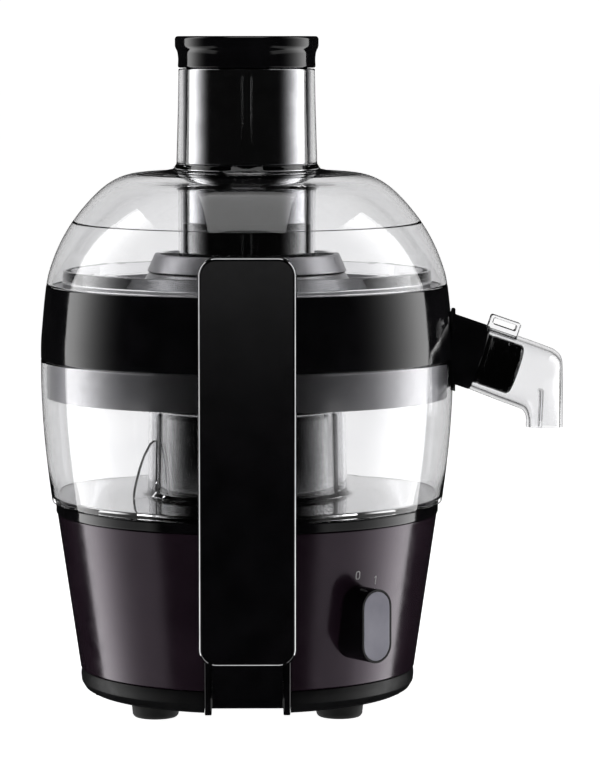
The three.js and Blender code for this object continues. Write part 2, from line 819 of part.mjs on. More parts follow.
function graterDisc() {
  const top = SIEVE_BASE_BOTTOM + 4.4;
  const plate = disc(60, SIEVE_BASE_BOTTOM + 3.2, top, ROUND);
  const tooth = turned([[0, top - 0.4], [1.6, top - 0.4], [0, top + 2]], 4);
  const rows = [[16, 6], [28, 10], [40, 14], [52, 18]]; // radius and number of teeth
  const teeth = rows.flatMap(([radius, count]) => {
    return copiesRound(tooth.clone().translate(radius, 0, 0), count);
  });
  return join(plate, ...teeth);
}

function addSieve() {
  add(model, 'sieve_rim', sieveRim(), silverPlastic);
  add(model, 'sieve_cone', sieveCone(), steel);
  add(model, 'sieve_base', sieveBase(), satinBlack);
  add(model, 'grater_disc', graterDisc(), steel);
}

// ---------------------------------------------------------------- lid, tube and pusher

const domeCurve = new THREE.SplineCurve([
  new THREE.Vector2(106.2, LID_BOTTOM),
  new THREE.Vector2(104.4, 231.1),
  new THREE.Vector2(99.5, 243.8),
  new THREE.Vector2(92.2, 256.5),
  new THREE.Vector2(81.7, 269.2),
  new THREE.Vector2(71.6, 277.6),
  new THREE.Vector2(60.5, 281.8),
  new THREE.Vector2(45, 283),
]);

function domeWall(z) {
  return z > LID_STEP ? 3.6 : 2.4;
}

// Points on the dome, or on its inner face when set in by the wall's thickness.
function domePoints(count, inner) {
  return Array.from({ length: count + 1 }, (_, k) => {
    const point = domeCurve.getPointAt(k / count);
    const along = domeCurve.getTangentAt(k / count);
    const wall = inner ? domeWall(point.y) : 0;
    return [point.x - along.y * wall, point.y + along.x * wall];
  });
}

function lidBody() {
  const outside = domePoints(9, false);
  const inside = domePoints(9, true).slice(1).reverse();
  return turned([
    ...outside,
    [39, 284.2],
    [37.2, 287],
    [36.2, 320],
    [36, TUBE_TOP],
    [TUBE_BORE_R, TUBE_TOP],
    [TUBE_BORE_R, TUBE_BOTTOM],
    [36, TUBE_BOTTOM],
    [36.4, 276],
    [39, 279.3],
    ...inside,
    [103.7, LID_BOTTOM],
  ]);
}

function pusherBody() {
  return turned([
    [0, PUSHER_BOTTOM],
    [PUSHER_R - 1, PUSHER_BOTTOM],
    [PUSHER_R, PUSHER_BOTTOM + 1],
    [PUSHER_R, CAP_BOTTOM - GAP],
    [PUSHER_R - 2.2, CAP_BOTTOM - GAP],
    [PUSHER_R - 2.2, PUSHER_BOTTOM + 3],
    [0, PUSHER_BOTTOM + 3],
  ]);
}

function pusherCap() {
  return turned([
    [0, CAP_BOTTOM - 6],
    [PUSHER_R - 2.5, CAP_BOTTOM - 6],
    [PUSHER_R - 2.5, CAP_BOTTOM],
    [36.4, CAP_BOTTOM],
    [36.1, 342],
    [36.6, 346],
    [CAP_R, 348.4],
    [CAP_R, CAP_TOP - 1],
    [CAP_R - 1, CAP_TOP],
    [CAP_R - 4, CAP_TOP],
    [CAP_R - 6, CAP_TOP - 1.2],
    [0, CAP_TOP - 1.2],
  ]);
}

function addLid() {
  add(model, 'lid', lidBody(), clear);
  add(model, 'pusher_body', pusherBody(), chrome);
  add(model, 'pusher_cap', pusherCap(), glossBlack);
}

// ---------------------------------------------------------------------------- assembly

addBase();
addArm('front', 0);
addArm('rear', Math.PI);
addKnob();
addMotor();
addContainer();
addCollector();
add(model, 'spout', spoutBody(), clear);
addSieve();
addLid();

// The origin is the middle of the bottom of the bounding box.
const box = new THREE.Box3().setFromObject(model, true);
const middle = box.getCenter(new THREE.Vector3());
const group = new THREE.Group();
model.position.set(-middle.x, -middle.y, -box.min.z);
group.add(model);

export default group;
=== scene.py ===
"""A centrifugal juicer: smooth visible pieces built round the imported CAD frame.

Lengths are metres in the row frame. Turned pieces take their outlines from the CAD nodes,
so a change of size in the frame carries through to the pieces built here.
"""
import math
import bmesh
import bpy
from mathutils import Matrix, Vector

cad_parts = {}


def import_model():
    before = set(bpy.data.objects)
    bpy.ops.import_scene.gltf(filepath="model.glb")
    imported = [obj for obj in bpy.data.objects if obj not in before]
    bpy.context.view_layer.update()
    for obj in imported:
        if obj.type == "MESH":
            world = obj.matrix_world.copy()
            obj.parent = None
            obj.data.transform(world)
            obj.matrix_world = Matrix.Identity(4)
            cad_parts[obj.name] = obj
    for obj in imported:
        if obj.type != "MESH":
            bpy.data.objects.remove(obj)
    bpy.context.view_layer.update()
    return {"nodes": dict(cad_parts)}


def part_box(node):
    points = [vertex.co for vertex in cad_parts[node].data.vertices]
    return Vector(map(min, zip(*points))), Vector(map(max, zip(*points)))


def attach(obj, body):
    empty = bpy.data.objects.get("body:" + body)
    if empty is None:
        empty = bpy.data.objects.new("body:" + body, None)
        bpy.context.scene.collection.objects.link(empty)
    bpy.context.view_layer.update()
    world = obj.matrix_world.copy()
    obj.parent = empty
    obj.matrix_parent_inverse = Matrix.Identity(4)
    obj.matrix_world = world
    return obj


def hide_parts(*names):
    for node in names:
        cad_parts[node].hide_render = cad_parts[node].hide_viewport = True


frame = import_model()

# ------------------------------------------------------------------ driving dimensions

MM = 0.001
ROUND = 160  # steps round a large turned piece
SMALL = 64  # steps round a small one
EDGE = 0.5 * MM  # usual rounding of a moulded edge
GAP = 0.3 * MM


def middle(node):
    low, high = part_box(node)
    return (low + high) / 2


def points_of(pairs, scale=1):
    """Pairs of numbers as vectors."""
    return [Vector(pair) * scale for pair in pairs]


def upright_at(node):
    """A frame that stands at the middle of a node, at floor level."""
    return Matrix.Translation(Vector((middle(node).x, middle(node).y, 0)))


def radius_of(node):
    low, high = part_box(node)
    return (high.x - low.x) / 2


AXIS = Vector((middle("motor_shaft").x, middle("motor_shaft").y, 0))
AT_AXIS = Matrix.Translation(AXIS)
BASE_LOW, BASE_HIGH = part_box("base_shell")
COVER_LOW, COVER_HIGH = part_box("front_arm_cover")
BRACKET_LOW, BRACKET_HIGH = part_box("front_arm_bracket")

SLOT_HALF = BRACKET_HIGH.x - AXIS.x + GAP
SLOT_TOP = BRACKET_HIGH.z + GAP
SLOT_BACK = -BRACKET_HIGH.y - GAP
OPEN = 60 * MM  # how far a cutter reaches past what it cuts

KNOB_AZIMUTH = math.radians(36)  # from the front towards the spout
GLAND_AZIMUTH = math.radians(125)  # from +x, at the back
OUTLET_TILT = math.radians(19)
OUTLET_POINT = AXIS + Vector((123.4, 0, 183.9)) * MM
SLEEVE_R = 17.8 * MM
NOZZLE_R = 13.6 * MM
NOZZLE_LENGTH = 21 * MM
OUTLET_TUBE_R = 10.6 * MM
OUTLET_BORE_R = 8.4 * MM

WALL_FOOT = 89 * MM  # radius of the base's wall where it starts
WALL_SLOPE = (radius_of("base_shell") - WALL_FOOT) / (BASE_HIGH.z - BASE_LOW.z)
PIN_HOLE_R = 2.3 * MM

KNOB_OUT = Vector((math.sin(KNOB_AZIMUTH), -math.cos(KNOB_AZIMUTH), 0))
KNOB_Z = middle("knob_face").z


def wall_radius(height):
    """The radius of the base's wall at a height."""
    return WALL_FOOT + WALL_SLOPE * (height - BASE_LOW.z)


def frame_of(across, up, out, origin):
    """A matrix that takes local x, y and z to three directions at a place."""
    turn = Matrix((across, up, out)).transposed().to_4x4()
    return Matrix.Translation(origin) @ turn


FRONT = frame_of((1, 0, 0), (0, 0, 1), (0, -1, 0), AXIS)
SIDE = frame_of((0, 1, 0), (0, 0, 1), (1, 0, 0), AXIS)
KNOB_AT = frame_of(
    (math.cos(KNOB_AZIMUTH), math.sin(KNOB_AZIMUTH), 0), (0, 0, 1), KNOB_OUT,
    AXIS + Vector((0, 0, KNOB_Z)))
GLAND_AT = frame_of(
    (-math.sin(GLAND_AZIMUTH), math.cos(GLAND_AZIMUTH), 0), (0, 0, 1),
    (math.cos(GLAND_AZIMUTH), math.sin(GLAND_AZIMUTH), 0),
    AXIS + Vector((0, 0, middle("cord_gland").z)))
OUTLET_AT = Matrix.Translation(OUTLET_POINT) @ Matrix.Rotation(math.pi / 2 + OUTLET_TILT, 4, "Y")
BEHIND = AT_AXIS @ Matrix.Rotation(math.pi, 4, "Z") @ AT_AXIS.inverted()

# --------------------------------------------------------------------------- outlines


def cad_outline(node, degrees=180):
    """The (radius, height) outline of a turned CAD node, and whether it closes on itself.

    It's read from the corners that lie on one facet line, at an angle clear of any cut.
    """
    obj = frame["nodes"][node]
    centre = AXIS if degrees == 180 else middle(node)
    toward = Vector((math.cos(math.radians(degrees)), math.sin(math.radians(degrees)), 0))
    across = Vector((-toward.y, toward.x, 0))
    keys = {}
    for vertex in obj.data.vertices:
        arm = vertex.co - centre
        near_axis = math.hypot(arm.x, arm.y) < 1e-5
        if not near_axis and (abs(arm.dot(across)) > 2e-5 or arm.dot(toward) < 0):
            continue
        keys[vertex.index] = (round(max(0, arm.dot(toward)), 5), round(vertex.co.z, 5))
    links = {key: set() for key in keys.values()}
    for edge in obj.data.edges:
        a, b = (keys.get(k) for k in edge.vertices)
        if a is None or b is None or a == b:
            continue
        links[a].add(b)
        links[b].add(a)
    close_flats(links)
    return walk(links)


def close_flats(links):
    """Flat rings have no edge along the facet line, so loose ends at one height are joined."""
    loose = [key for key in links if len(links[key]) < 2]
    for a in sorted(loose):
        for b in sorted(loose):
            level = a != b and a[1] == b[1] and b not in links[a]
            if level and len(links[a]) < 2 and len(links[b]) < 2:
                links[a].add(b)
                links[b].add(a)
    for key in [k for k in loose if len(links[k]) < 2 and k[0] > 0]:
        centre = (0.0, key[1])
        links.setdefault(centre, set()).add(key)
        links[key].add(centre)


def walk(links):
    ends = sorted(key for key in links if len(links[key]) == 1)
    here = ends[0] if ends else max(links)
    path = [here]
    while True:
        onward = [key for key in sorted(links[here]) if key not in path]
        if not onward:
            break
        here = onward[0]
        path.append(here)
    return [Vector(point) for point in path], not ends


def rounded(points, ring, edge=EDGE, steps=4):
    """Softens an outline: sharp corners get a small round, shallow ones flow into a curve."""
    out = []
    count = len(points)
    for k, point in enumerate(points):
        if not ring and k in (0, count - 1):
            out.append(point)
            continue
        back = points[k - 1] - point
        ahead = points[(k + 1) % count] - point
        shorter = min(back.length, ahead.length)
        turn = math.pi - back.angle(ahead)
        shallow = turn < math.radians(24)
        reach = shorter * 0.499 if shallow else min(edge, shorter * 0.45)
        start = point + back.normalized() * reach
        end = point + ahead.normalized() * reach
        if not shallow and back.length > 6 * reach:
            out.append(point + back.normalized() * reach * 2)
        for step in range(steps + 1):
            t = step / steps
            out.append(start * (1 - t) ** 2 + point * 2 * t * (1 - t) + end * t * t)
        if not shallow and ahead.length > 6 * reach:
            out.append(point + ahead.normalized() * reach * 2)
    return out


def arc(x, y, radius, start, end, steps=10):
    angles = [math.radians(start + (end - start) * k / steps) for k in range(steps + 1)]
    return [(x + radius * math.cos(a), y + radius * math.sin(a)) for a in angles]


def blended(rows, steps=5):
    """Catmull-Rom points between the given ones."""
    out = []
    for k in range(len(rows) - 1):
        p0, p1 = rows[max(k - 1, 0)], rows[k]
        p2, p3 = rows[k + 1], rows[min(k + 2, len(rows) - 1)]
        for step in range(steps):
            t = step / steps
            curve = p1 * 2 + (p2 - p0) * t + (p0 * 2 - p1 * 5 + p2 * 4 - p3) * t * t
            out.append((curve + (p1 * 3 - p0 - p2 * 3 + p3) * t ** 3) / 2)
    out.append(rows[-1])
    return out


def rounded_rectangle(width, height, radius, x=0, y=0):
    half_x = width / 2 - radius
    half_y = height / 2 - radius
    corners = [(1, -1, -90), (1, 1, 0), (-1, 1, 90), (-1, -1, 180)]
    points = []
    for sx, sy, start in corners:
        points += arc(x + sx * half_x, y + sy * half_y, radius, start, start + 90)
    return points


# ------------------------------------------------------------------------ mesh helpers


def new_object(name, mesh, place=AT_AXIS):
    bmesh.ops.recalc_face_normals(mesh, faces=mesh.faces)
    mesh.transform(place)
    data = bpy.data.meshes.new(name)
    mesh.to_mesh(data)
    mesh.free()
    obj = bpy.data.objects.new(name, data)
    bpy.context.scene.collection.objects.link(obj)
    return obj


def turned(name, points, ring, place=AT_AXIS, segments=ROUND):
    """Turns (radius, height) points round local z."""
    mesh = bmesh.new()
    angles = [2 * math.pi * k / segments for k in range(segments)]
    rows = []
    for radius, height in points:
        if radius < 1e-6:
            rows.append([mesh.verts.new((0, 0, height))])
        else:
            rows.append([mesh.verts.new((radius * math.cos(a), radius * math.sin(a), height))
                         for a in angles])
    pairs = list(zip(rows, rows[1:]))
    if ring:
        pairs.append((rows[-1], rows[0]))
    for low, high in pairs:
        join_rows(mesh, low, high)
    return new_object(name, mesh, place)


def join_rows(mesh, low, high):
    count = max(len(low), len(high))
    for k in range(count if count > 1 else 0):
        onward = (k + 1) % count
        corners = [low[k % len(low)], low[onward % len(low)],
                   high[onward % len(high)], high[k % len(high)]]
        mesh.faces.new(list(dict.fromkeys(corners)))


def like_cad(name, node, edge=EDGE, segments=ROUND):
    """A smooth copy of a CAD node that is turned round the machine's axis."""
    points, ring = cad_outline(node)
    return turned(name, rounded(points, ring, edge), ring, AT_AXIS, segments)


def small_turned(name, node, edge=EDGE):
    """A smooth copy of a small CAD node turned round its own upright axis."""
    points, ring = cad_outline(node, 90)
    return turned(name, rounded(points, ring, edge), ring, upright_at(node), SMALL)


def rod(name, radius, low, high, place, edge=0, segments=SMALL):
    points = points_of(((0, low), (radius, low), (radius, high), (0, high)))
    if edge:
        points = rounded(points, False, edge)
    return turned(name, points, False, place, segments)


def prism(name, outline, low, high, place):
    """A closed outline in local x and y, reaching from low to high along local z."""
    mesh = bmesh.new()
    bottom = [mesh.verts.new((x, y, low)) for x, y in outline]
    top = [mesh.verts.new((x, y, high)) for x, y in outline]
    mesh.faces.new(bottom[::-1])
    mesh.faces.new(top)
    for k in range(len(outline)):
        onward = (k + 1) % len(outline)
        mesh.faces.new((bottom[k], bottom[onward], top[onward], top[k]))
    return new_object(name, mesh, place)


def block(name, low, high, place):
    outline = [(low[0], low[1]), (high[0], low[1]), (high[0], high[1]), (low[0], high[1])]
    return prism(name, outline, low[2], high[2], place)


def bake(obj):
    """Puts an object's modifiers into its mesh."""
    graph = bpy.context.evaluated_depsgraph_get()
    data = bpy.data.meshes.new_from_object(obj.evaluated_get(graph))
    obj.modifiers.clear()
    obj.data = data
    return obj


def combine(obj, operation, *tools):
    for tool in tools:
        step = obj.modifiers.new(operation.lower(), "BOOLEAN")
        step.operation = operation
        step.solver = "EXACT"
        step.object = tool
    bake(obj)
    for tool in tools:
        bpy.data.objects.remove(tool)
    return obj


def carve(obj, *tools):
    return combine(obj, "DIFFERENCE", *tools)


def join(obj, *tools):
    return combine(obj, "UNION", *tools)


def soften(obj, width=EDGE, segments=3):
    """Rounds the sharp edges of a prism."""
    step = obj.modifiers.new("edges", "BEVEL")
    step.width = width
    step.segments = segments
    step.limit_method = "ANGLE"
    step.angle_limit = math.radians(32)
    step.use_clamp_overlap = True
    return bake(obj)


def shade(obj, degrees=28):
    """Smooth shading that stays crisp over sharp edges."""
    mesh = bmesh.new()
    mesh.from_mesh(obj.data)
    for face in mesh.faces:
        face.smooth = True
    for edge in mesh.edges:
        sharp = len(edge.link_faces) != 2 or edge.calc_face_angle(0) > math.radians(degrees)
        edge.smooth = not sharp
    mesh.to_mesh(obj.data)
    mesh.free()
    flat = obj.modifiers.new("flat_faces", "WEIGHTED_NORMAL")
    flat.keep_sharp = True
    bake(obj)


def dress(obj, slot, body, *nodes):
    """Gives a piece its material, its body and the CAD nodes it stands for."""
    shade(obj)
    obj.data.materials.clear()
    obj.data.materials.append(MATERIALS[slot])
    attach(obj, body)
    if nodes:
        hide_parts(*nodes)
    return obj


# --------------------------------------------------------------------------- materials


class Finish:
    """A Principled material with helpers for the patterns that drive it."""

    def __init__(self, name, **values):
        self.material = bpy.data.materials.new(name)
        self.material.use_nodes = True
        self.nodes = self.material.node_tree.nodes
        self.links = self.material.node_tree.links
        self.shader = self.nodes["Principled BSDF"]
        self.where = self.nodes.new("ShaderNodeTexCoord").outputs["Object"]
        for socket, value in values.items():
            self.shader.inputs[socket.replace("_", " ")].default_value = value

    def stretched(self, scale):
        mapping = self.nodes.new("ShaderNodeMapping")
        mapping.inputs["Scale"].default_value = scale
        self.links.new(self.where, mapping.inputs["Vector"])
        return mapping.outputs["Vector"]

    def noise(self, scale, detail=3, stretch=(1, 1, 1)):
        node = self.nodes.new("ShaderNodeTexNoise")
        node.inputs["Scale"].default_value = scale
        node.inputs["Detail"].default_value = detail
        self.links.new(self.stretched(stretch), node.inputs["Vector"])
        return node.outputs["Fac"]

    def ramp(self, source, stops):
        node = self.nodes.new("ShaderNodeValToRGB")
        ramp = node.color_ramp
        while len(ramp.elements) < len(stops):
            ramp.elements.new(0.5)
        for element, (place, colour) in zip(ramp.elements, stops):
            element.position = place
            element.color = (*colour, 1)
        self.links.new(source, node.inputs["Fac"])
        return node.outputs["Color"]

    def spread(self, source, low, high, start=0.3, end=0.7):
        node = self.nodes.new("ShaderNodeMapRange")
        node.inputs["From Min"].default_value = start
        node.inputs["From Max"].default_value = end
        node.inputs["To Min"].default_value = low
        node.inputs["To Max"].default_value = high
        self.links.new(source, node.inputs["Value"])
        return node.outputs["Result"]

    def colour(self, source, stops):
        self.links.new(self.ramp(source, stops), self.shader.inputs["Base Color"])

    def roughness(self, source, low, high):
        self.links.new(self.spread(source, low, high), self.shader.inputs["Roughness"])

    def bump(self, source, depth, strength=0.4):
        node = self.nodes.new("ShaderNodeBump")
        node.inputs["Strength"].default_value = strength
        node.inputs["Distance"].default_value = depth
        self.links.new(source, node.inputs["Height"])
        self.links.new(node.outputs["Normal"], self.shader.inputs["Normal"])


def moulded(name, dark, light, smooth, rough, grain, depth, **values):
    """Opaque plastic: a faint mottle in the colour, uneven gloss and a fine skin."""
    finish = Finish(name, **values)
    finish.colour(finish.noise(60, 4), [(0.3, dark), (0.7, light)])
    finish.roughness(finish.noise(180, 4), smooth, rough)
    finish.bump(finish.noise(grain, 2), depth)
    return finish.material


def base_gloss():
    return moulded("base_gloss", (0.0095, 0.0048, 0.0085), (0.015, 0.0085, 0.0135),
                   0.13, 0.19, 420, 0.008 * MM, Specular_IOR_Level=0.55,
                   Specular_Tint=(1, 0.87, 1, 1))


def gloss_black():
    return moulded("gloss_black", (0.0015, 0.0015, 0.0018), (0.004, 0.0038, 0.0045),
                   0.05, 0.1, 300, 0.015 * MM, Specular_IOR_Level=0.5)


def satin_black():
    return moulded("satin_black", (0.0025, 0.0025, 0.0028), (0.006, 0.006, 0.0065),
                   0.34, 0.46, 2600, 0.03 * MM, Specular_IOR_Level=0.24)


def rubber():
    return moulded("rubber", (0.006, 0.006, 0.006), (0.014, 0.014, 0.014),
                   0.7, 0.9, 1800, 0.08 * MM, Sheen_Weight=0.2)


def carbon():
    return moulded("carbon", (0.01, 0.01, 0.011), (0.03, 0.03, 0.032),
                   0.5, 0.75, 3200, 0.06 * MM)


# Flat grey painted on the knob's face plate: it stands in for the side light's reflection in a
# gloss black face.
def knob_grey():
    return moulded("knob_grey", (0.2, 0.195, 0.235), (0.27, 0.265, 0.31),
                   0.35, 0.45, 3600, 0.03 * MM)


def print_grey():
    return moulded("print_grey", (0.34, 0.34, 0.34), (0.5, 0.5, 0.5),
                   0.4, 0.55, 5000, 0.02 * MM)


def silver_plastic():
    finish = Finish("silver_plastic", Metallic=1)
    flakes = finish.noise(5200, 1)
    finish.colour(flakes, [(0.35, (0.46, 0.455, 0.475)), (0.65, (0.58, 0.575, 0.595))])
    finish.roughness(finish.noise(220, 4), 0.42, 0.5)
    finish.bump(flakes, 0.01 * MM, 0.25)
    return finish.material


def metallised():
    finish = Finish("metallised", Metallic=1)
    finish.colour(finish.noise(90, 3), [(0.3, (0.42, 0.42, 0.43)), (0.7, (0.54, 0.54, 0.55))])
    finish.roughness(finish.noise(140, 5), 0.04, 0.09)
    finish.bump(finish.noise(110, 2), 0.02 * MM, 0.25)
    return finish.material


def clear_plastic():
    finish = Finish("clear_plastic", Transmission_Weight=1, IOR=1.54)
    finish.colour(finish.noise(30, 2), [(0.3, (0.935, 0.935, 0.945)), (0.7, (0.97, 0.97, 0.975))])
    finish.roughness(finish.noise(150, 6), 0.0, 0.03)
    finish.bump(finish.noise(45, 2), 0.05 * MM, 0.12)
    return finish.material


def brushed(name, dark, light, smooth, rough, stretch):
    finish = Finish(name, Metallic=1)
    lines = finish.noise(900, 4, stretch)
    finish.colour(lines, [(0.3, dark), (0.7, light)])
    finish.roughness(lines, smooth, rough)
    finish.bump(lines, 0.02 * MM, 0.3)
    return finish.material


def steel():
    return brushed("steel", (0.42, 0.42, 0.43), (0.62, 0.62, 0.63), 0.16, 0.32, (1, 1, 0.05))


def dark_steel():
    return brushed("dark_steel", (0.06, 0.062, 0.066), (0.16, 0.162, 0.17), 0.3, 0.5, (0.1, 0.1, 2))


def copper():
    return brushed("copper", (0.3, 0.1, 0.035), (0.62, 0.25, 0.1), 0.25, 0.42, (0.06, 1, 1))


def sieve_steel():
    """Steel sheet with rows of fine holes, drawn as dots with pressed-in edges and painted dark as
    the shade seen in the holes.
    """
    finish = Finish("sieve_steel", Metallic=1)
    dots = finish.nodes.new("ShaderNodeTexVoronoi")
    dots.inputs["Scale"].default_value = 1100
    dots.inputs["Randomness"].default_value = 0.25
    finish.links.new(finish.where, dots.inputs["Vector"])
    holes = finish.spread(dots.outputs["Distance"], 0, 1, 0.26, 0.36)
    # The dark colour in the dots is painted shade that stands in for the holes.
    finish.colour(holes, [(0.2, (0.1, 0.1, 0.105)), (0.8, (0.42, 0.42, 0.43))])
    finish.roughness(finish.noise(700, 3), 0.32, 0.45)
    finish.bump(holes, 0.1 * MM, 0.35)
    return finish.material


MAKERS = (base_gloss, gloss_black, satin_black, rubber, carbon, knob_grey, silver_plastic,
          metallised, clear_plastic, steel, dark_steel, copper, sieve_steel)
MATERIALS = {maker.__name__: maker() for maker in MAKERS}
PRINT = print_grey()

# -------------------------------------------------------------------------- motor base


def slot_cutter(top):
    """The block taken out of the base for the front arm; BEHIND turns it to the rear."""
    low = (-SLOT_HALF, -OPEN, SLOT_BACK)
    high = (SLOT_HALF, top, radius_of("base_shell") + OPEN)
    front = block("front_slot", low, high, FRONT)
    rear = block("rear_slot", low, high, BEHIND @ FRONT)
    return front, rear


SPINDLE_HOLE_R = 4 * MM
GLAND_HOLE_R = 6.4 * MM
WALL_CUT = (80 * MM, 120 * MM)  # from inside the base's wall to outside it


def base_shell():
    shell = like_cad("shell", "base_shell")
    spindle = rod("spindle_hole", SPINDLE_HOLE_R, *WALL_CUT, KNOB_AT)
    gland = rod("gland_hole", GLAND_HOLE_R, *WALL_CUT, GLAND_AT)
    carve(shell, *slot_cutter(SLOT_TOP), spindle, gland)
    dress(shell, "base_gloss", "base", "base_shell")


def motor_cover():
    cover = like_cad("deck_and_tower", "motor_cover")
    dress(cover, "gloss_black", "base", "motor_cover")


COVER_BOTTOM, COVER_TOP = (corner.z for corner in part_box("bottom_cover"))
SCREWS = [f"bottom_screw_{k}" for k in range(1, 5)]
SCREW_SHANK_R = 1.7 * MM
SCREW_HEAD_R = 3.4 * MM
SCREW_CLEARANCE = 0.3 * MM
SCREW_SEAT = COVER_BOTTOM + 2 * MM
VENTS = 8
VENT_LENGTH = 20 * MM
VENT_WIDTH = 3.2 * MM
VENT_RING_R = 34 * MM


def bottom_cover():
    cover = like_cad("underside", "bottom_cover")
    holes = []
    for k, node in enumerate(SCREWS):
        at = upright_at(node)
        holes.append(rod(f"screw_hole_{k}", SCREW_SHANK_R + 0.5 * MM, -OPEN, COVER_TOP + OPEN, at))
        holes.append(rod(f"screw_seat_{k}", SCREW_HEAD_R + SCREW_CLEARANCE, -OPEN, SCREW_SEAT, at))
    for k in range(VENTS):
        angle = (k + 0.5) * 2 * math.pi / VENTS
        turn = AT_AXIS @ Matrix.Rotation(angle, 4, "Z")
        slot = rounded_rectangle(VENT_LENGTH, VENT_WIDTH, 1.5 * MM, VENT_RING_R)
        holes.append(prism(f"vent_{k}", slot, 0, COVER_TOP, turn))
    carve(cover, *holes, *slot_cutter(COVER_TOP + GAP))
    dress(cover, "satin_black", "base", "bottom_cover")


def bottom_screws():
    for k, node in enumerate(SCREWS, 1):
        at = upright_at(node)
        low = COVER_BOTTOM + 0.4 * MM
        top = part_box(node)[1].z
        under_head = low + 1.5 * MM
        sides = points_of(((0, low), (SCREW_HEAD_R, low), (SCREW_HEAD_R, under_head),
                           (SCREW_SHANK_R, under_head + 0.3 * MM),
                           (SCREW_SHANK_R, top - 1.5 * MM), (0, top)))
        screw = turned(f"screw_{k}", rounded(sides, False, 0.3 * MM), False, at, SMALL)
        arm = (2.2 * MM, 0.45 * MM)
        for x, y in (arm, arm[::-1]):
            carve(screw, block("recess", (-x, -y, low - MM), (x, y, low + MM), at))
        dress(screw, "dark_steel", "base", node)


def feet():
    for side in ("front_left", "front_right", "rear_left", "rear_right"):
        foot = small_turned(f"rubber_{side}", f"foot_{side}", 0.8 * MM)
        dress(foot, "rubber", "base", f"foot_{side}")


GLAND_WALL = 91 * MM  # the wall's outside at the gland
# Out from the wall: a barbed body through the wall, then a ribbed nose.
GLAND_BODY = ((3.4, -8), (8.6, -8), (8.6, -4.6), (6, -4.6), (6, 2.2), (9, 2.2), (8.6, 4))
GLAND_NOSE = ((7.4, 4.4), (7.4, 5.2), (8.1, 5.6), (6.9, 6), (6.9, 6.8), (7.4, 7.2), (6.2, 9),
              (3.4, 9))


def cord_gland():
    points = points_of([(r * MM, GLAND_WALL + z * MM) for r, z in GLAND_BODY + GLAND_NOSE])
    gland = turned("gland", rounded(points, True, 0.4 * MM), True, GLAND_AT, SMALL)
    dress(gland, "rubber", "base", "cord_gland")


# ------------------------------------------------------------------------ locking arms

INSET = 1.5 * MM  # from the arm's outline to its cover
ARM_WIDTH = COVER_HIGH.x - COVER_LOW.x + 2 * INSET
ARM_LOW = COVER_LOW.z - INSET
ARM_HIGH = COVER_HIGH.z + INSET
ARM_CORNER = 9 * MM
ARM_FACE = -COVER_LOW.y
ARM_STEP = -COVER_HIGH.y - GAP
ARM_BACK = ARM_STEP - 5.8 * MM
PIVOT = middle("front_hinge_pin")
AT_PIVOT = SIDE @ Matrix.Translation((PIVOT.y, PIVOT.z, 0))
EYE_R = 7 * MM
STEM_HALF = 18 * MM
STEM_FRONT = -100 * MM  # y of the stem's upright part
STEM_HEIGHTS = (18 * MM, 40 * MM, 47 * MM, 66 * MM)
TRIM_OUTER = 0.45 * MM
TRIM_INNER = 1.2 * MM
TRIM_TOP = ARM_FACE + 0.3 * MM
CATCH_REACH = -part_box("front_arm_catch")[1].y
CATCH_FRONT = 114.4 * MM
CATCH_HALF = 14 * MM
CATCH_LOW, CATCH_HIGH = 226 * MM, 240 * MM
NOSE_HALF = 12 * MM
NOSE_LOW, NOSE_HIGH = 228 * MM, 233 * MM
NOSE_FRONT = 112 * MM


def arm_outline(inset):
    return rounded_rectangle(ARM_WIDTH - 2 * inset, ARM_HIGH - ARM_LOW - 2 * inset,
                             ARM_CORNER - inset, 0, (ARM_HIGH + ARM_LOW) / 2)


def pin_hole(at):
    return rod("pin_hole", PIN_HOLE_R, -OPEN, OPEN, at @ AT_PIVOT)


def arm_stem(at):
    """From behind the plate, through the slot, to a round eye on the pin."""
    foot, knee, low, high = STEM_HEIGHTS
    back = -ARM_BACK - MM
    points = [(PIVOT.y + MM, PIVOT.z - EYE_R + 0.1 * MM), (STEM_FRONT, foot), (STEM_FRONT, knee),
              (back, low), (back, high), (PIVOT.y + 5.6 * MM, PIVOT.z + 4 * MM)]
    web = prism("stem", points, -STEM_HALF, STEM_HALF, at @ SIDE)
    eye = rod("eye", EYE_R, -STEM_HALF, STEM_HALF, at @ AT_PIVOT)
    return soften(join(web, eye), 0.8 * MM)


def arm_core(side, at):
    core = prism(f"{side}_arm_body", arm_outline(0), ARM_BACK, ARM_STEP + 1.7 * MM, at @ FRONT)
    soften(core, 0.35 * MM)
    recess = prism("seat", arm_outline(0.35 * MM), ARM_STEP, ARM_STEP + OPEN, at @ FRONT)
    low = (-CATCH_HALF - GAP, CATCH_LOW - GAP, ARM_BACK - OPEN)
    high = (CATCH_HALF + GAP, CATCH_HIGH + GAP, ARM_STEP - 2.5 * MM)
    pocket = block("pocket", low, high, at @ FRONT)
    carve(core, recess)
    join(core, arm_stem(at))
    carve(core, pocket, pin_hole(at))
    dress(core, "gloss_black", f"{side}_arm", f"{side}_arm_core")


def arm_trim(side, at):
    """A thin ring with a ridge along it."""
    low = ARM_STEP + GAP / 3
    shoulder = TRIM_TOP - 0.45 * MM
    profile = points_of(((TRIM_OUTER, low), (TRIM_OUTER, shoulder),
                         ((TRIM_OUTER + TRIM_INNER) / 2, TRIM_TOP),
                         (TRIM_INNER, shoulder), (TRIM_INNER, low)))
    mesh = bmesh.new()
    rows = []
    for inset, height in rounded(profile, True, 0.05 * MM):
        rows.append([mesh.verts.new((x, y, height)) for x, y in arm_outline(inset)])
    for first, second in zip(rows, rows[1:] + rows[:1]):
        join_rows(mesh, first, second)
    trim = new_object(f"{side}_bright_line", mesh, at @ FRONT)
    dress(trim, "metallised", f"{side}_arm", f"{side}_arm_trim")


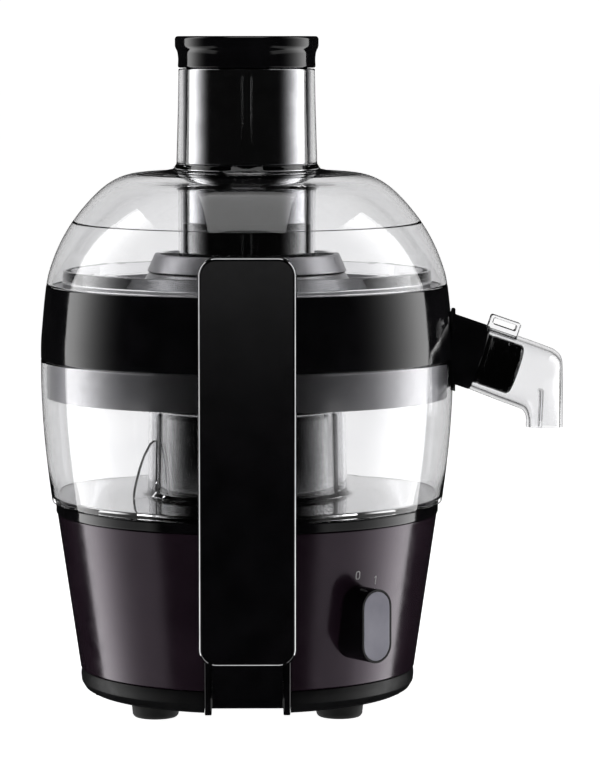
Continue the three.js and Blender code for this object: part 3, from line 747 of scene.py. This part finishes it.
def arm_cover(side, at):
    outline = arm_outline(TRIM_INNER + 0.1 * MM)
    top = ARM_FACE - 0.25 * MM
    cover = prism(f"{side}_front_plate", outline, ARM_STEP + GAP, top, at @ FRONT)
    soften(cover, 0.5 * MM, 4)
    dress(cover, "gloss_black", f"{side}_arm", f"{side}_arm_cover")


def arm_catch(side, at):
    low = (-CATCH_HALF, CATCH_LOW, CATCH_REACH + 1.4 * MM)
    high = (CATCH_HALF, CATCH_HIGH, CATCH_FRONT)
    catch = block(f"{side}_catch", low, high, at @ FRONT)
    low = (-NOSE_HALF, NOSE_LOW, CATCH_REACH)
    high = (NOSE_HALF, NOSE_HIGH, NOSE_FRONT)
    join(catch, block("nose", low, high, at @ FRONT))
    soften(catch, 0.4 * MM)
    dress(catch, "satin_black", f"{side}_arm", f"{side}_arm_catch")


BRACKET_SIDE = 3.5 * MM
BRACKET_ROOF = 2.4 * MM
BRACKET_FOOT = -WALL_FOOT - 1.6 * MM
BRACKET_KNEE = 12 * MM  # height at which the bracket's foot starts to follow the wall


def arm_bracket(side, at):
    """A channel in the base's slot: two cheeks, a back wall and a roof."""
    low, high = BRACKET_LOW, BRACKET_HIGH
    lip = BRACKET_FOOT - WALL_SLOPE * (high.z - BASE_LOW.z)
    outline = [(high.y, low.z), (high.y, high.z), (lip, high.z), (BRACKET_FOOT, BRACKET_KNEE),
               (BRACKET_FOOT + 2.5 * MM, low.z)]
    half = high.x - AXIS.x
    bracket = prism(f"{side}_channel", outline, -half, half, at @ SIDE)
    inner = half - BRACKET_SIDE
    back, roof = high.y - BRACKET_ROOF, high.z - BRACKET_ROOF
    space = [(back, -OPEN), (back, roof), (-2 * OPEN, roof), (-2 * OPEN, -OPEN)]
    carve(bracket, prism("space", space, -inner, inner, at @ SIDE))
    carve(bracket, pin_hole(at))
    soften(bracket, 0.6 * MM)
    dress(bracket, "gloss_black", "base", f"{side}_arm_bracket")


def hinge_pin(side, at):
    low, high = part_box("front_hinge_pin")
    half = (high.x - low.x) / 2
    pin = rod(f"{side}_pin", (high.z - low.z) / 2, -half, half, at @ AT_PIVOT, 0.3 * MM)
    dress(pin, "steel", "base", f"{side}_hinge_pin")


def arms():
    for side, at in (("front", Matrix.Identity(4)), ("rear", BEHIND)):
        arm_core(side, at)
        arm_trim(side, at)
        arm_cover(side, at)
        arm_catch(side, at)
        arm_bracket(side, at)
        hinge_pin(side, at)


# -------------------------------------------------------------------------------- knob

KNOB_WIDTH = 19 * MM
KNOB_LENGTH = 38.2 * MM
KNOB_FACE = 112.5 * MM
KNOB_BACK = 88 * MM
KNOB_RIM = 1.1 * MM  # from the knob's outline to the seat of its face plate
KNOB_SOCKET_R = 3.3 * MM
KNOB_TURN = (0, 10, 20, 30)  # degrees
KNOB_CLEARANCE = 0.5 * MM
CONE_TOP = 110 * MM


def stadium(inset):
    width = KNOB_WIDTH - 2 * inset
    return rounded_rectangle(width, KNOB_LENGTH - 2 * inset, width / 2 - 0.01 * MM)


def wall_cone(degrees):
    """The base's wall, just clear of it, as the knob meets it when turned."""
    low, high = (wall_radius(height) + KNOB_CLEARANCE for height in (0, CONE_TOP))
    outline = points_of(((0, 0), (low, 0), (high, CONE_TOP), (0, CONE_TOP)))
    turn = KNOB_AT @ Matrix.Rotation(math.radians(degrees), 4, "Z") @ KNOB_AT.inverted()
    return turned("wall", outline, False, turn @ AT_AXIS, ROUND)


def knob():
    body = prism("knob_body", stadium(0), KNOB_BACK, KNOB_FACE, KNOB_AT)
    soften(body, 1.1 * MM, 5)
    seat = prism("seat", stadium(KNOB_RIM), KNOB_FACE - 0.5 * MM, KNOB_FACE + OPEN, KNOB_AT)
    socket = rod("socket", KNOB_SOCKET_R, 0, KNOB_FACE - 6 * MM, KNOB_AT)
    carve(body, seat, socket, *[wall_cone(angle) for angle in KNOB_TURN])
    dress(body, "gloss_black", "knob", "knob")
    # The face plate takes the grey that is painted as the side light's reflection.
    plate = stadium(KNOB_RIM + 0.2 * MM)
    face = prism("knob_plate", plate, KNOB_FACE - 0.45 * MM, KNOB_FACE, KNOB_AT)
    soften(face, 0.3 * MM)
    dress(face, "knob_grey", "knob", "knob_face")


# ------------------------------------------------------------------------- dial figures

FIGURE_HEIGHT = 4.6 * MM
FIGURE_WIDTH = 2.8 * MM
FIGURE_STROKE = 0.55 * MM
FIGURE_DEPTH = (-0.1 * MM, 0.08 * MM)  # from inside the base's wall to just proud of it
ZERO_PLACE = (math.radians(35.5), 78.6 * MM)  # azimuth and height
ONE_PLACE = (math.radians(42.7), 75 * MM)


def wall_place(azimuth, height):
    """A frame on the base's wall: x runs round it, y up it and z out of it."""
    out = Vector((math.sin(azimuth), -math.cos(azimuth), 0))
    across = Vector((math.cos(azimuth), math.sin(azimuth), 0))
    spot = AXIS + out * wall_radius(height) + Vector((0, 0, height))
    at = frame_of(across, (0, 0, 1), out, spot)
    return at @ Matrix.Rotation(math.atan(WALL_SLOPE), 4, "X")


def figure_zero(at):
    outer = rounded_rectangle(FIGURE_WIDTH, FIGURE_HEIGHT, 1.38 * MM)
    inner = rounded_rectangle(FIGURE_WIDTH - 2 * FIGURE_STROKE,
                              FIGURE_HEIGHT - 2 * FIGURE_STROKE, 0.83 * MM)
    zero = prism("figure_0", outer, *FIGURE_DEPTH, at)
    return carve(zero, prism("inner", inner, -MM, MM, at))


def figure_one(at):
    half = FIGURE_HEIGHT / 2
    stroke = FIGURE_STROKE
    points = [(0, -half), (stroke, -half), (stroke, half), (0.1 * stroke, half),
              (-1.6 * stroke, half - 1.5 * stroke), (-1.1 * stroke, half - 2.1 * stroke),
              (0, half - 1.2 * stroke)]
    return prism("figure_1", points, *FIGURE_DEPTH, at)


def figures():
    for figure in (figure_zero(wall_place(*ZERO_PLACE)), figure_one(wall_place(*ONE_PLACE))):
        dress(figure, "knob_grey", "base")
        figure.data.materials[0] = PRINT


# ---------------------------------------------------------------------- pulp container


FIN_OUTLINE = ((52, 110), (66, 110), (65.6, 115), (64.4, 121), (62.4, 128), (59.6, 135),
               (56.4, 140.5), (54, 142.4), (51.6, 142.4))  # radius and height, mm
FIN_ANGLE = math.radians(205)
FIN_HALF = 1.5 * MM


def outlet_cutter():
    return rod("outlet_hole", OUTLET_TUBE_R + 0.4 * MM, -40 * MM, -6 * MM, OUTLET_AT)


def container():
    body = like_cad("clear_container", "pulp_container", 0.8 * MM)
    turn = Matrix.Rotation(FIN_ANGLE, 4, "Z") @ Matrix.Rotation(math.pi / 2, 4, "X")
    fin = prism("fin", points_of(FIN_OUTLINE, MM), -FIN_HALF, FIN_HALF, AT_AXIS @ turn)
    soften(fin, 0.6 * MM)
    join(body, fin)
    carve(body, outlet_cutter())
    dress(body, "clear_plastic", "container", "pulp_container")


# --------------------------------------------------------------------- juice collector

LIP_LOW = 225 * MM
LIP = ((97.9, 224.4), (97.4, 231), (95.6, 231), (94.8, 224.6))  # radius and height, mm
FLANGE_LOW, FLANGE_HIGH = 166 * MM, 210 * MM
FLANGE_GAP = 0.4 * MM
FLANGE_DEPTH = 1.2 * MM
# The nozzle's tip as radius and height, in shares of its own radius and length.
TIP_SIZE = (13.6, 21)
TIP = ((0, -1), (13.6, -1), (13.6, 2.4), (13.3, 2.7), (13.3, 3.4), (13.6, 3.7), (13.6, 19.2),
       (12.6, 20.6), (11.6, 21), (0, 21))


def band():
    body = like_cad("band", "collector_band")
    carve(body, outlet_cutter())
    dress(body, "gloss_black", "collector", "collector_band")


def bowl():
    """The silver bowl, and the clear lip above its shelf that the lid sits over."""
    points, ring = cad_outline("collector_bowl")
    body = turned("bowl", rounded([p for p in points if p.y < LIP_LOW], ring), ring)
    carve(body, outlet_cutter())
    dress(body, "silver_plastic", "collector", "collector_bowl")
    lip = turned("lid_seat", rounded(points_of(LIP, MM), True, 0.6 * MM), True)
    dress(lip, "clear_plastic", "collector", "collector_bowl")


def nozzle():
    """A sleeve and flange shaped to the band, with a ribbed tip that the spout slides on."""
    stack_r = radius_of("collector_band") + FLANGE_GAP
    edge = stack_r + FLANGE_DEPTH
    sleeve = rod("nozzle", SLEEVE_R, -24 * MM, 0, OUTLET_AT, 0.8 * MM, ROUND)
    reach = rod("reach", SLEEVE_R + 3.4 * MM, -40 * MM, 10 * MM, OUTLET_AT, 0, ROUND)
    edges = points_of(((stack_r, FLANGE_LOW), (edge, FLANGE_LOW),
                       (edge, FLANGE_HIGH), (stack_r, FLANGE_HIGH)))
    flange = turned("flange", edges, True)
    combine(flange, "INTERSECT", reach)
    join(sleeve, flange)
    carve(sleeve, rod("stack", stack_r, 0.1, 0.26, AT_AXIS, 0, ROUND))
    across, along_it = NOZZLE_R / TIP_SIZE[0], NOZZLE_LENGTH / TIP_SIZE[1]
    scaled = points_of([(r * across, z * along_it) for r, z in TIP])
    join(sleeve, rod("tube", OUTLET_TUBE_R, -24.5 * MM, 0, OUTLET_AT, 0, ROUND),
         turned("tip", rounded(scaled, False), False, OUTLET_AT, ROUND))
    carve(sleeve, rod("bore", OUTLET_BORE_R, -40 * MM, 40 * MM, OUTLET_AT, 0, SMALL))
    dress(sleeve, "gloss_black", "collector", "outlet_nozzle")


# ------------------------------------------------------------------------------- spout

# Each section runs from a point on the underside to one on the top, in x and z from the
# axis, with half its width across.
SPOUT_SECTIONS = (
    ((117.8, 167.2), (129.2, 200.6), 17.5), ((131.5, 161.8), (146, 194.8), 17.5),
    ((142, 157.9), (158.6, 190.2), 17.4), ((144.8, 156.8), (163.6, 188), 17),
    ((146.4, 155.9), (166.9, 184.4), 16), ((147.6, 154.5), (167.9, 178), 14.4),
    ((148.3, 152.6), (168, 169), 12.2), ((148.5, 150.4), (168, 158.5), 10.4),
    ((148.4, 148.6), (168, 151.5), 9.8), ((148.4, 147), (168, 147), 9.75))
SPOUT_WALL = 2.3 * MM
TAB_CENTRE = (-19.9 * MM, 6.9 * MM)  # down and along the outlet
TAB_SIZE = (8.6 * MM, 16.7 * MM)
TAB_WINDOW = (3.2 * MM, 12.5 * MM)
TAB_HALF = 5 * MM
SPOUT_HOLLOW_R = 15.2 * MM
BAFFLE_X = 155.8 * MM


def section(mesh, row, inset):
    low = Vector((row[0], 0, row[1]))
    high = Vector((row[2], 0, row[3]))
    centre = AXIS + (low + high) / 2
    half_up = (high - low) / 2
    half_up *= 1 - inset / half_up.length
    half_wide = Vector((0, row[4] - inset, 0))
    angles = [2 * math.pi * k / SMALL for k in range(SMALL)]
    return [mesh.verts.new(centre + half_up * math.cos(a) + half_wide * math.sin(a))
            for a in angles]


def spout_shell():
    mesh = bmesh.new()
    rows = blended([Vector((*low, *high, half)) * MM for low, high, half in SPOUT_SECTIONS])
    outer = [section(mesh, row, 0) for row in rows]
    inner = [section(mesh, row, SPOUT_WALL) for row in rows]
    loop = outer + inner[::-1]
    for a, b in zip(loop, loop[1:] + loop[:1]):
        join_rows(mesh, a, b)
    return new_object("clear_spout", mesh, Matrix.Identity(4))


def tab():
    """A small open frame that stands on the spout."""
    upright = OUTLET_AT @ Matrix.Rotation(math.pi / 2, 4, "X")
    outline = rounded_rectangle(*TAB_SIZE, 1.2 * MM, *TAB_CENTRE)
    out = prism("tab", outline, -TAB_HALF, TAB_HALF, upright)
    x, y = TAB_CENTRE
    window = rounded_rectangle(*TAB_WINDOW, 0.8 * MM, x - 1.3 * MM, y)
    carve(out, prism("window", window, -OPEN, OPEN, upright))
    soften(out, 0.4 * MM)
    return carve(out, rod("hollow", SPOUT_HOLLOW_R, -OPEN, 20 * MM, OUTLET_AT))


def baffle():
    """An upright fin in the spout's mouth, on a foot that reaches both walls."""
    low = (BAFFLE_X - 0.9 * MM, -8.6 * MM, 147.3 * MM)
    high = (BAFFLE_X + 0.6 * MM, 8.6 * MM, 150 * MM)
    outline = rounded_rectangle(2.4 * MM, 12.6 * MM, 1.15 * MM, BAFFLE_X)
    fin = prism("baffle", outline, 147.6 * MM, 167 * MM, AT_AXIS)
    return block("baffle_foot", low, high, AT_AXIS), fin


def spout():
    shell = join(spout_shell(), tab(), *baffle())
    dress(shell, "clear_plastic", "spout", "spout")


# ------------------------------------------------------------------------------- sieve


RIM_HOLE_R = 45.9 * MM
RIM_FOOT_R = 52.9 * MM
RIM_TOP_R = 48.9 * MM


def sieve():
    low, top = (corner.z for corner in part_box("sieve_rim"))
    points = points_of(((RIM_HOLE_R, low), (RIM_FOOT_R, low), (RIM_TOP_R, top), (RIM_HOLE_R, top)))
    rim = turned("sieve_ring", rounded(points, True, 0.8 * MM), True)
    dress(rim, "silver_plastic", "sieve", "sieve_rim")
    cone = like_cad("sieve_mesh", "sieve_cone", 0.5 * MM)
    dress(cone, "sieve_steel", "sieve", "sieve_cone")


# ---------------------------------------------------------------- lid, tube and pusher


RIB_PLACES = (-2.5 * MM, 2.5 * MM)  # x from the axis
RIB_R = 36.2 * MM
RIB_SPANS = ((200 * MM, 276 * MM), (287.5 * MM, 333 * MM))  # below and above the dome's top
RIB_SIZE = (0.45 * MM, 0.75 * MM)
RIB_STEPS = 12


def guide_ribs():
    """Two fine ribs down the front of the feed tube."""
    out = []
    angles = [2 * math.pi * step / RIB_STEPS for step in range(RIB_STEPS)]
    wide, deep = RIB_SIZE
    for k, x in enumerate(RIB_PLACES):
        ridge = [(x + wide * math.cos(a), -RIB_R - deep * math.sin(a)) for a in angles]
        for low, high in RIB_SPANS:
            out.append(prism(f"rib_{k}", ridge, low, high, AT_AXIS))
    return out


# The dome's outside, as (radius, height), and the height above which its wall is thicker.
DOME = ((106.2, 223.2), (104.4, 231.1), (99.5, 243.8), (92.2, 256.5), (81.7, 269.2),
        (71.6, 277.6), (60.5, 281.8), (45, 283))
TUBE = ((39, 284.2), (37.2, 287), (36.2, 320), (36, 336.9), (34.3, 336.9), (34.3, 186),
        (36, 186), (36.4, 276), (39, 279.3))
DOME_STEP = 256.5 * MM
THICK_WALL = 3.6 * MM
THIN_WALL = 2.4 * MM


def lid_outline():
    outer = blended(points_of(DOME, MM), 4)
    inner = []
    for k, point in enumerate(outer[1:-1], 1):
        along = (outer[k + 1] - outer[k - 1]).normalized()
        inward = Vector((-along.y, along.x))
        if point.y < DOME_STEP + 1e-6:
            inner.append(point + inward * THIN_WALL)
        if point.y > DOME_STEP - 1e-6:
            inner.append(point + inward * THICK_WALL)
    inner.insert(0, Vector((DOME[0][0] * MM - THIN_WALL, outer[0].y)))
    return outer + points_of(TUBE, MM) + inner[::-1]


def lid():
    body = turned("clear_lid", rounded(lid_outline(), True, 0.6 * MM), True)
    join(body, *guide_ribs())
    dress(body, "clear_plastic", "lid", "lid")


PLUNGER_TOP = 256 * MM  # the bright sleeve stands on a black plunger
PUSHER_WALL = 2.2 * MM


def pusher():
    low, high = (corner.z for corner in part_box("pusher_body"))
    outer = radius_of("pusher_body")
    inner = outer - PUSHER_WALL
    rim = PLUNGER_TOP - GAP
    cup = points_of(((0, low), (outer, low), (outer, rim), (inner, rim),
                     (inner, low + PUSHER_WALL), (0, low + PUSHER_WALL)))
    plunger = turned("plunger", rounded(cup, False, 0.8 * MM), False)
    dress(plunger, "gloss_black", "pusher", "pusher_body")
    sides = points_of(((outer, PLUNGER_TOP), (outer, high), (inner, high), (inner, PLUNGER_TOP)))
    sleeve = turned("pusher_sleeve", rounded(sides, True, 0.3 * MM), True)
    dress(sleeve, "metallised", "pusher", "pusher_body")
    cap = like_cad("cap", "pusher_cap", 1.2 * MM)
    dress(cap, "gloss_black", "pusher", "pusher_cap")


# ------------------------------------------------------------------- carried-over nodes

CARRIED = {
    "satin_black": ("cooling_fan", "drive_coupling", "sieve_base", "knob_spindle"),
    "steel": ("upper_bearing", "lower_bearing", "motor_shaft", "grater_disc"),
    "dark_steel": ("motor_stator", "motor_upper_bracket", "motor_lower_bracket", "rotor_core"),
    "copper": ("commutator", "field_coil_left", "field_coil_right"),
    "carbon": ("switch_body", "front_safety_switch", "rear_safety_switch", "brush_holder_left",
               "brush_holder_right", "carbon_brush_left", "carbon_brush_right"),
}


def carried_over():
    for slot, nodes in CARRIED.items():
        for name in nodes:
            node = frame["nodes"][name]
            node.data.materials.clear()
            node.data.materials.append(MATERIALS[slot])


# ------------------------------------------------------------------------------ studio


FLOOR_HALF = 30


def floor():
    mesh = bmesh.new()
    signs = ((-1, -1), (1, -1), (1, 1), (-1, 1))
    mesh.faces.new([mesh.verts.new((x * FLOOR_HALF, y * FLOOR_HALF, 0)) for x, y in signs])
    ground = new_object("floor", mesh, Matrix.Identity(4))
    finish = Finish("floor_pale", Roughness=0.9, Emission_Color=(1, 1, 1, 1), Emission_Strength=1)
    finish.colour(finish.noise(3, 2), [(0.3, (0.86, 0.86, 0.86)), (0.7, (0.9, 0.9, 0.9))])
    ground.data.materials.append(finish.material)
    ground.visible_glossy = False
    ground.visible_transmission = False


def math_node(tree, operation, first, second):
    node = tree.nodes.new("ShaderNodeMath")
    node.operation = operation
    for socket, value in zip(node.inputs, (first, second)):
        if isinstance(value, (int, float)):
            socket.default_value = value
        else:
            tree.links.new(value, socket)
    return node.outputs["Value"]


def smooth_step(tree, value, start, end):
    node = tree.nodes.new("ShaderNodeMapRange")
    node.interpolation_type = "SMOOTHSTEP"
    node.inputs["From Min"].default_value = start
    node.inputs["From Max"].default_value = end
    tree.links.new(value, node.inputs["Value"])
    return node.outputs["Result"]


def along(tree, centre, direction, length):
    """How far a point of a light lies along a direction, from 0 to 1 over its length."""
    place = tree.nodes.new("ShaderNodeNewGeometry")
    dot = tree.nodes.new("ShaderNodeVectorMath")
    dot.operation = "DOT_PRODUCT"
    dot.inputs[1].default_value = direction
    tree.links.new(place.outputs["Position"], dot.inputs[0])
    start = Vector(centre).dot(Vector(direction)) - length / 2
    distance = math_node(tree, "SUBTRACT", dot.outputs["Value"], start)
    return math_node(tree, "DIVIDE", distance, length)


def side_glow(light, centre, outward, width):
    """Dark at its inner edge and bright at its outer one, with a dim panel low down."""
    light.use_nodes = True
    tree = light.node_tree
    x = along(tree, centre, outward, width)
    y = along(tree, centre, (0, 0, 1), SIDE_HEIGHT)
    below_top = math_node(tree, "SUBTRACT", 1, smooth_step(tree, y, *PANEL_TOP))
    full_width = math_node(tree, "MULTIPLY", below_top, PANEL)
    panel = math_node(tree, "MULTIPLY", full_width, smooth_step(tree, x, *PANEL_EDGE))
    strip = math_node(tree, "POWER", smooth_step(tree, x, *STRIP), 2)
    level = math_node(tree, "ADD", panel, strip)
    tree.links.new(level, tree.nodes["Emission"].inputs["Strength"])


def low_glow(light, centre, height):
    """Bright along its top edge and fading downwards."""
    light.use_nodes = True
    tree = light.node_tree
    y = along(tree, centre, (0, 0, 1), height)
    tree.links.new(math_node(tree, "POWER", y, 4), tree.nodes["Emission"].inputs["Strength"])


def softbox(name, place, aim, width, height, power):
    light = bpy.data.lights.new(name, "AREA")
    light.shape = "RECTANGLE"
    light.size = width
    light.size_y = height
    light.energy = power
    box = bpy.data.objects.new(name, light)
    bpy.context.scene.collection.objects.link(box)
    box.location = place
    box.rotation_euler = (Vector(aim) - Vector(place)).to_track_quat("-Z", "Y").to_euler()
    box.visible_camera = False
    return light


SIDE_DISTANCE = 1.1
SIDE_HEIGHT = 2.2
SIDE_SPANS = {"left": (-50, -117), "right": (38, 117)}  # degrees from the front
RADIANCE = 2.9  # of the side lights' bright strips
PANEL = 0.19  # brightness of the dim panels, as a share of that
# Where the strip and the panel fade, in shares of the light's width or height.
STRIP = (0.2, 0.88)
PANEL_EDGE = (0, 0.16)
PANEL_TOP = (0.24, 0.3)
AIM_HEIGHT = 0.5

TOP_PLACE = (AXIS.x, -0.2, 1.6)
TOP_AIM = (AXIS.x, 0, 0.25)
TOP_SIZE = 0.9
TOP_POWER = 3.5

LOW_CARD_PLACE = (AXIS.x, -2.4, -0.075)
LOW_CARD_SIZE = (1.5, 0.45)
LOW_CARD_POWER = 1.1
LOW_CARD_LIGHTS = ("front_front_plate", "front_arm_body", "front_bright_line", "shell",
                   "knob_plate")


def side_light(name, start, end):
    middle_angle = math.radians((start + end) / 2)
    half_span = math.radians(abs(end - start) / 2)
    width = 2 * SIDE_DISTANCE * math.tan(half_span)
    aim = Vector((AXIS.x, 0, AIM_HEIGHT))
    out = Vector((math.sin(middle_angle), -math.cos(middle_angle), 0))
    power = RADIANCE * math.pi * width * SIDE_HEIGHT
    centre = aim + out * SIDE_DISTANCE
    light = softbox(f"{name}_softbox", centre, aim, width, SIDE_HEIGHT, power)
    outward = Vector((math.cos(middle_angle), math.sin(middle_angle), 0))
    side_glow(light, centre, outward * math.copysign(1, end), width)


def lights():
    for name, (start, end) in SIDE_SPANS.items():
        side_light(name, start, end)
    softbox("top_softbox", TOP_PLACE, TOP_AIM, TOP_SIZE, TOP_SIZE, TOP_POWER)
    low_card()


def low_card():
    """Stands low in front and lights only a few pieces."""
    centre = Vector(LOW_CARD_PLACE)
    aim = (centre.x, 0, centre.z)
    light = softbox("low_card", centre, aim, *LOW_CARD_SIZE, LOW_CARD_POWER)
    low_glow(light, centre, LOW_CARD_SIZE[1])
    lit = bpy.data.collections.new("lit_by_low_card")
    for name in LOW_CARD_LIGHTS:
        lit.objects.link(bpy.data.objects[name])
    bpy.data.objects["low_card"].light_linking.receiver_collection = lit


WORLD_WHITE = 1.05
WORLD_DIM = 0.006
STRAIGHT = (0.6, 0.97)  # how nearly forwards or backwards a ray must go to see white
SIDEWAYS = (0.8, 0.95)


def world():
    """White for the camera and for light that comes through clear plastic, dim elsewhere.

    Light that was reflected on its way sees white only behind the machine.
    """
    made = bpy.data.worlds.new("studio")
    bpy.context.scene.world = made
    made.use_nodes = True
    tree = made.node_tree
    ray = tree.nodes.new("ShaderNodeLightPath").outputs
    split = tree.nodes.new("ShaderNodeSeparateXYZ")
    direction = tree.nodes.new("ShaderNodeTexCoord").outputs["Generated"]
    tree.links.new(direction, split.inputs["Vector"])
    x, y = split.outputs["X"], split.outputs["Y"]
    behind = smooth_step(tree, y, *STRAIGHT)
    ahead = smooth_step(tree, math_node(tree, "MULTIPLY", y, -1), *STRAIGHT)
    aside = smooth_step(tree, math_node(tree, "ABSOLUTE", x, 0), *SIDEWAYS)
    bounces = math_node(tree, "ADD", ray["Glossy Depth"], ray["Diffuse Depth"])
    unbroken = math_node(tree, "LESS_THAN", bounces, 0.5)
    around = math_node(tree, "MULTIPLY", unbroken, math_node(tree, "MAXIMUM", ahead, aside))
    white = math_node(tree, "MAXIMUM", behind, around)
    through = math_node(tree, "MULTIPLY", white, ray["Is Transmission Ray"])
    seen = math_node(tree, "MAXIMUM", ray["Is Camera Ray"], through)
    level = math_node(tree, "MULTIPLY_ADD", seen, WORLD_WHITE)
    level.node.inputs[2].default_value = WORLD_DIM
    tree.links.new(level, tree.nodes["Background"].inputs["Strength"])
    tree.nodes["Background"].inputs["Color"].default_value = (1, 1, 1, 1)


CAMERA_DISTANCE = 1.963
CAMERA_HEIGHT = 0.3503
CAMERA_PITCH = math.radians(5.375)  # looking down
CAMERA_YAW = math.radians(0.82)  # towards the spout
CAMERA_LENS = 170.27


def camera():
    data = bpy.data.cameras.new("camera")
    data.lens = CAMERA_LENS
    data.sensor_width = 36
    eye = bpy.data.objects.new("camera", data)
    bpy.context.scene.collection.objects.link(eye)
    eye.location = (AXIS.x, -CAMERA_DISTANCE, CAMERA_HEIGHT)
    eye.rotation_euler = (math.pi / 2 - CAMERA_PITCH, 0, -CAMERA_YAW)
    bpy.context.scene.camera = eye
    bpy.context.scene.view_settings.view_transform = "Standard"


# ---------------------------------------------------------------------------- assembly

base_shell()
motor_cover()
bottom_cover()
bottom_screws()
feet()
cord_gland()
arms()
knob()
figures()
container()
band()
bowl()
nozzle()
spout()
sieve()
lid()
pusher()
carried_over()
floor()
lights()
world()
camera()
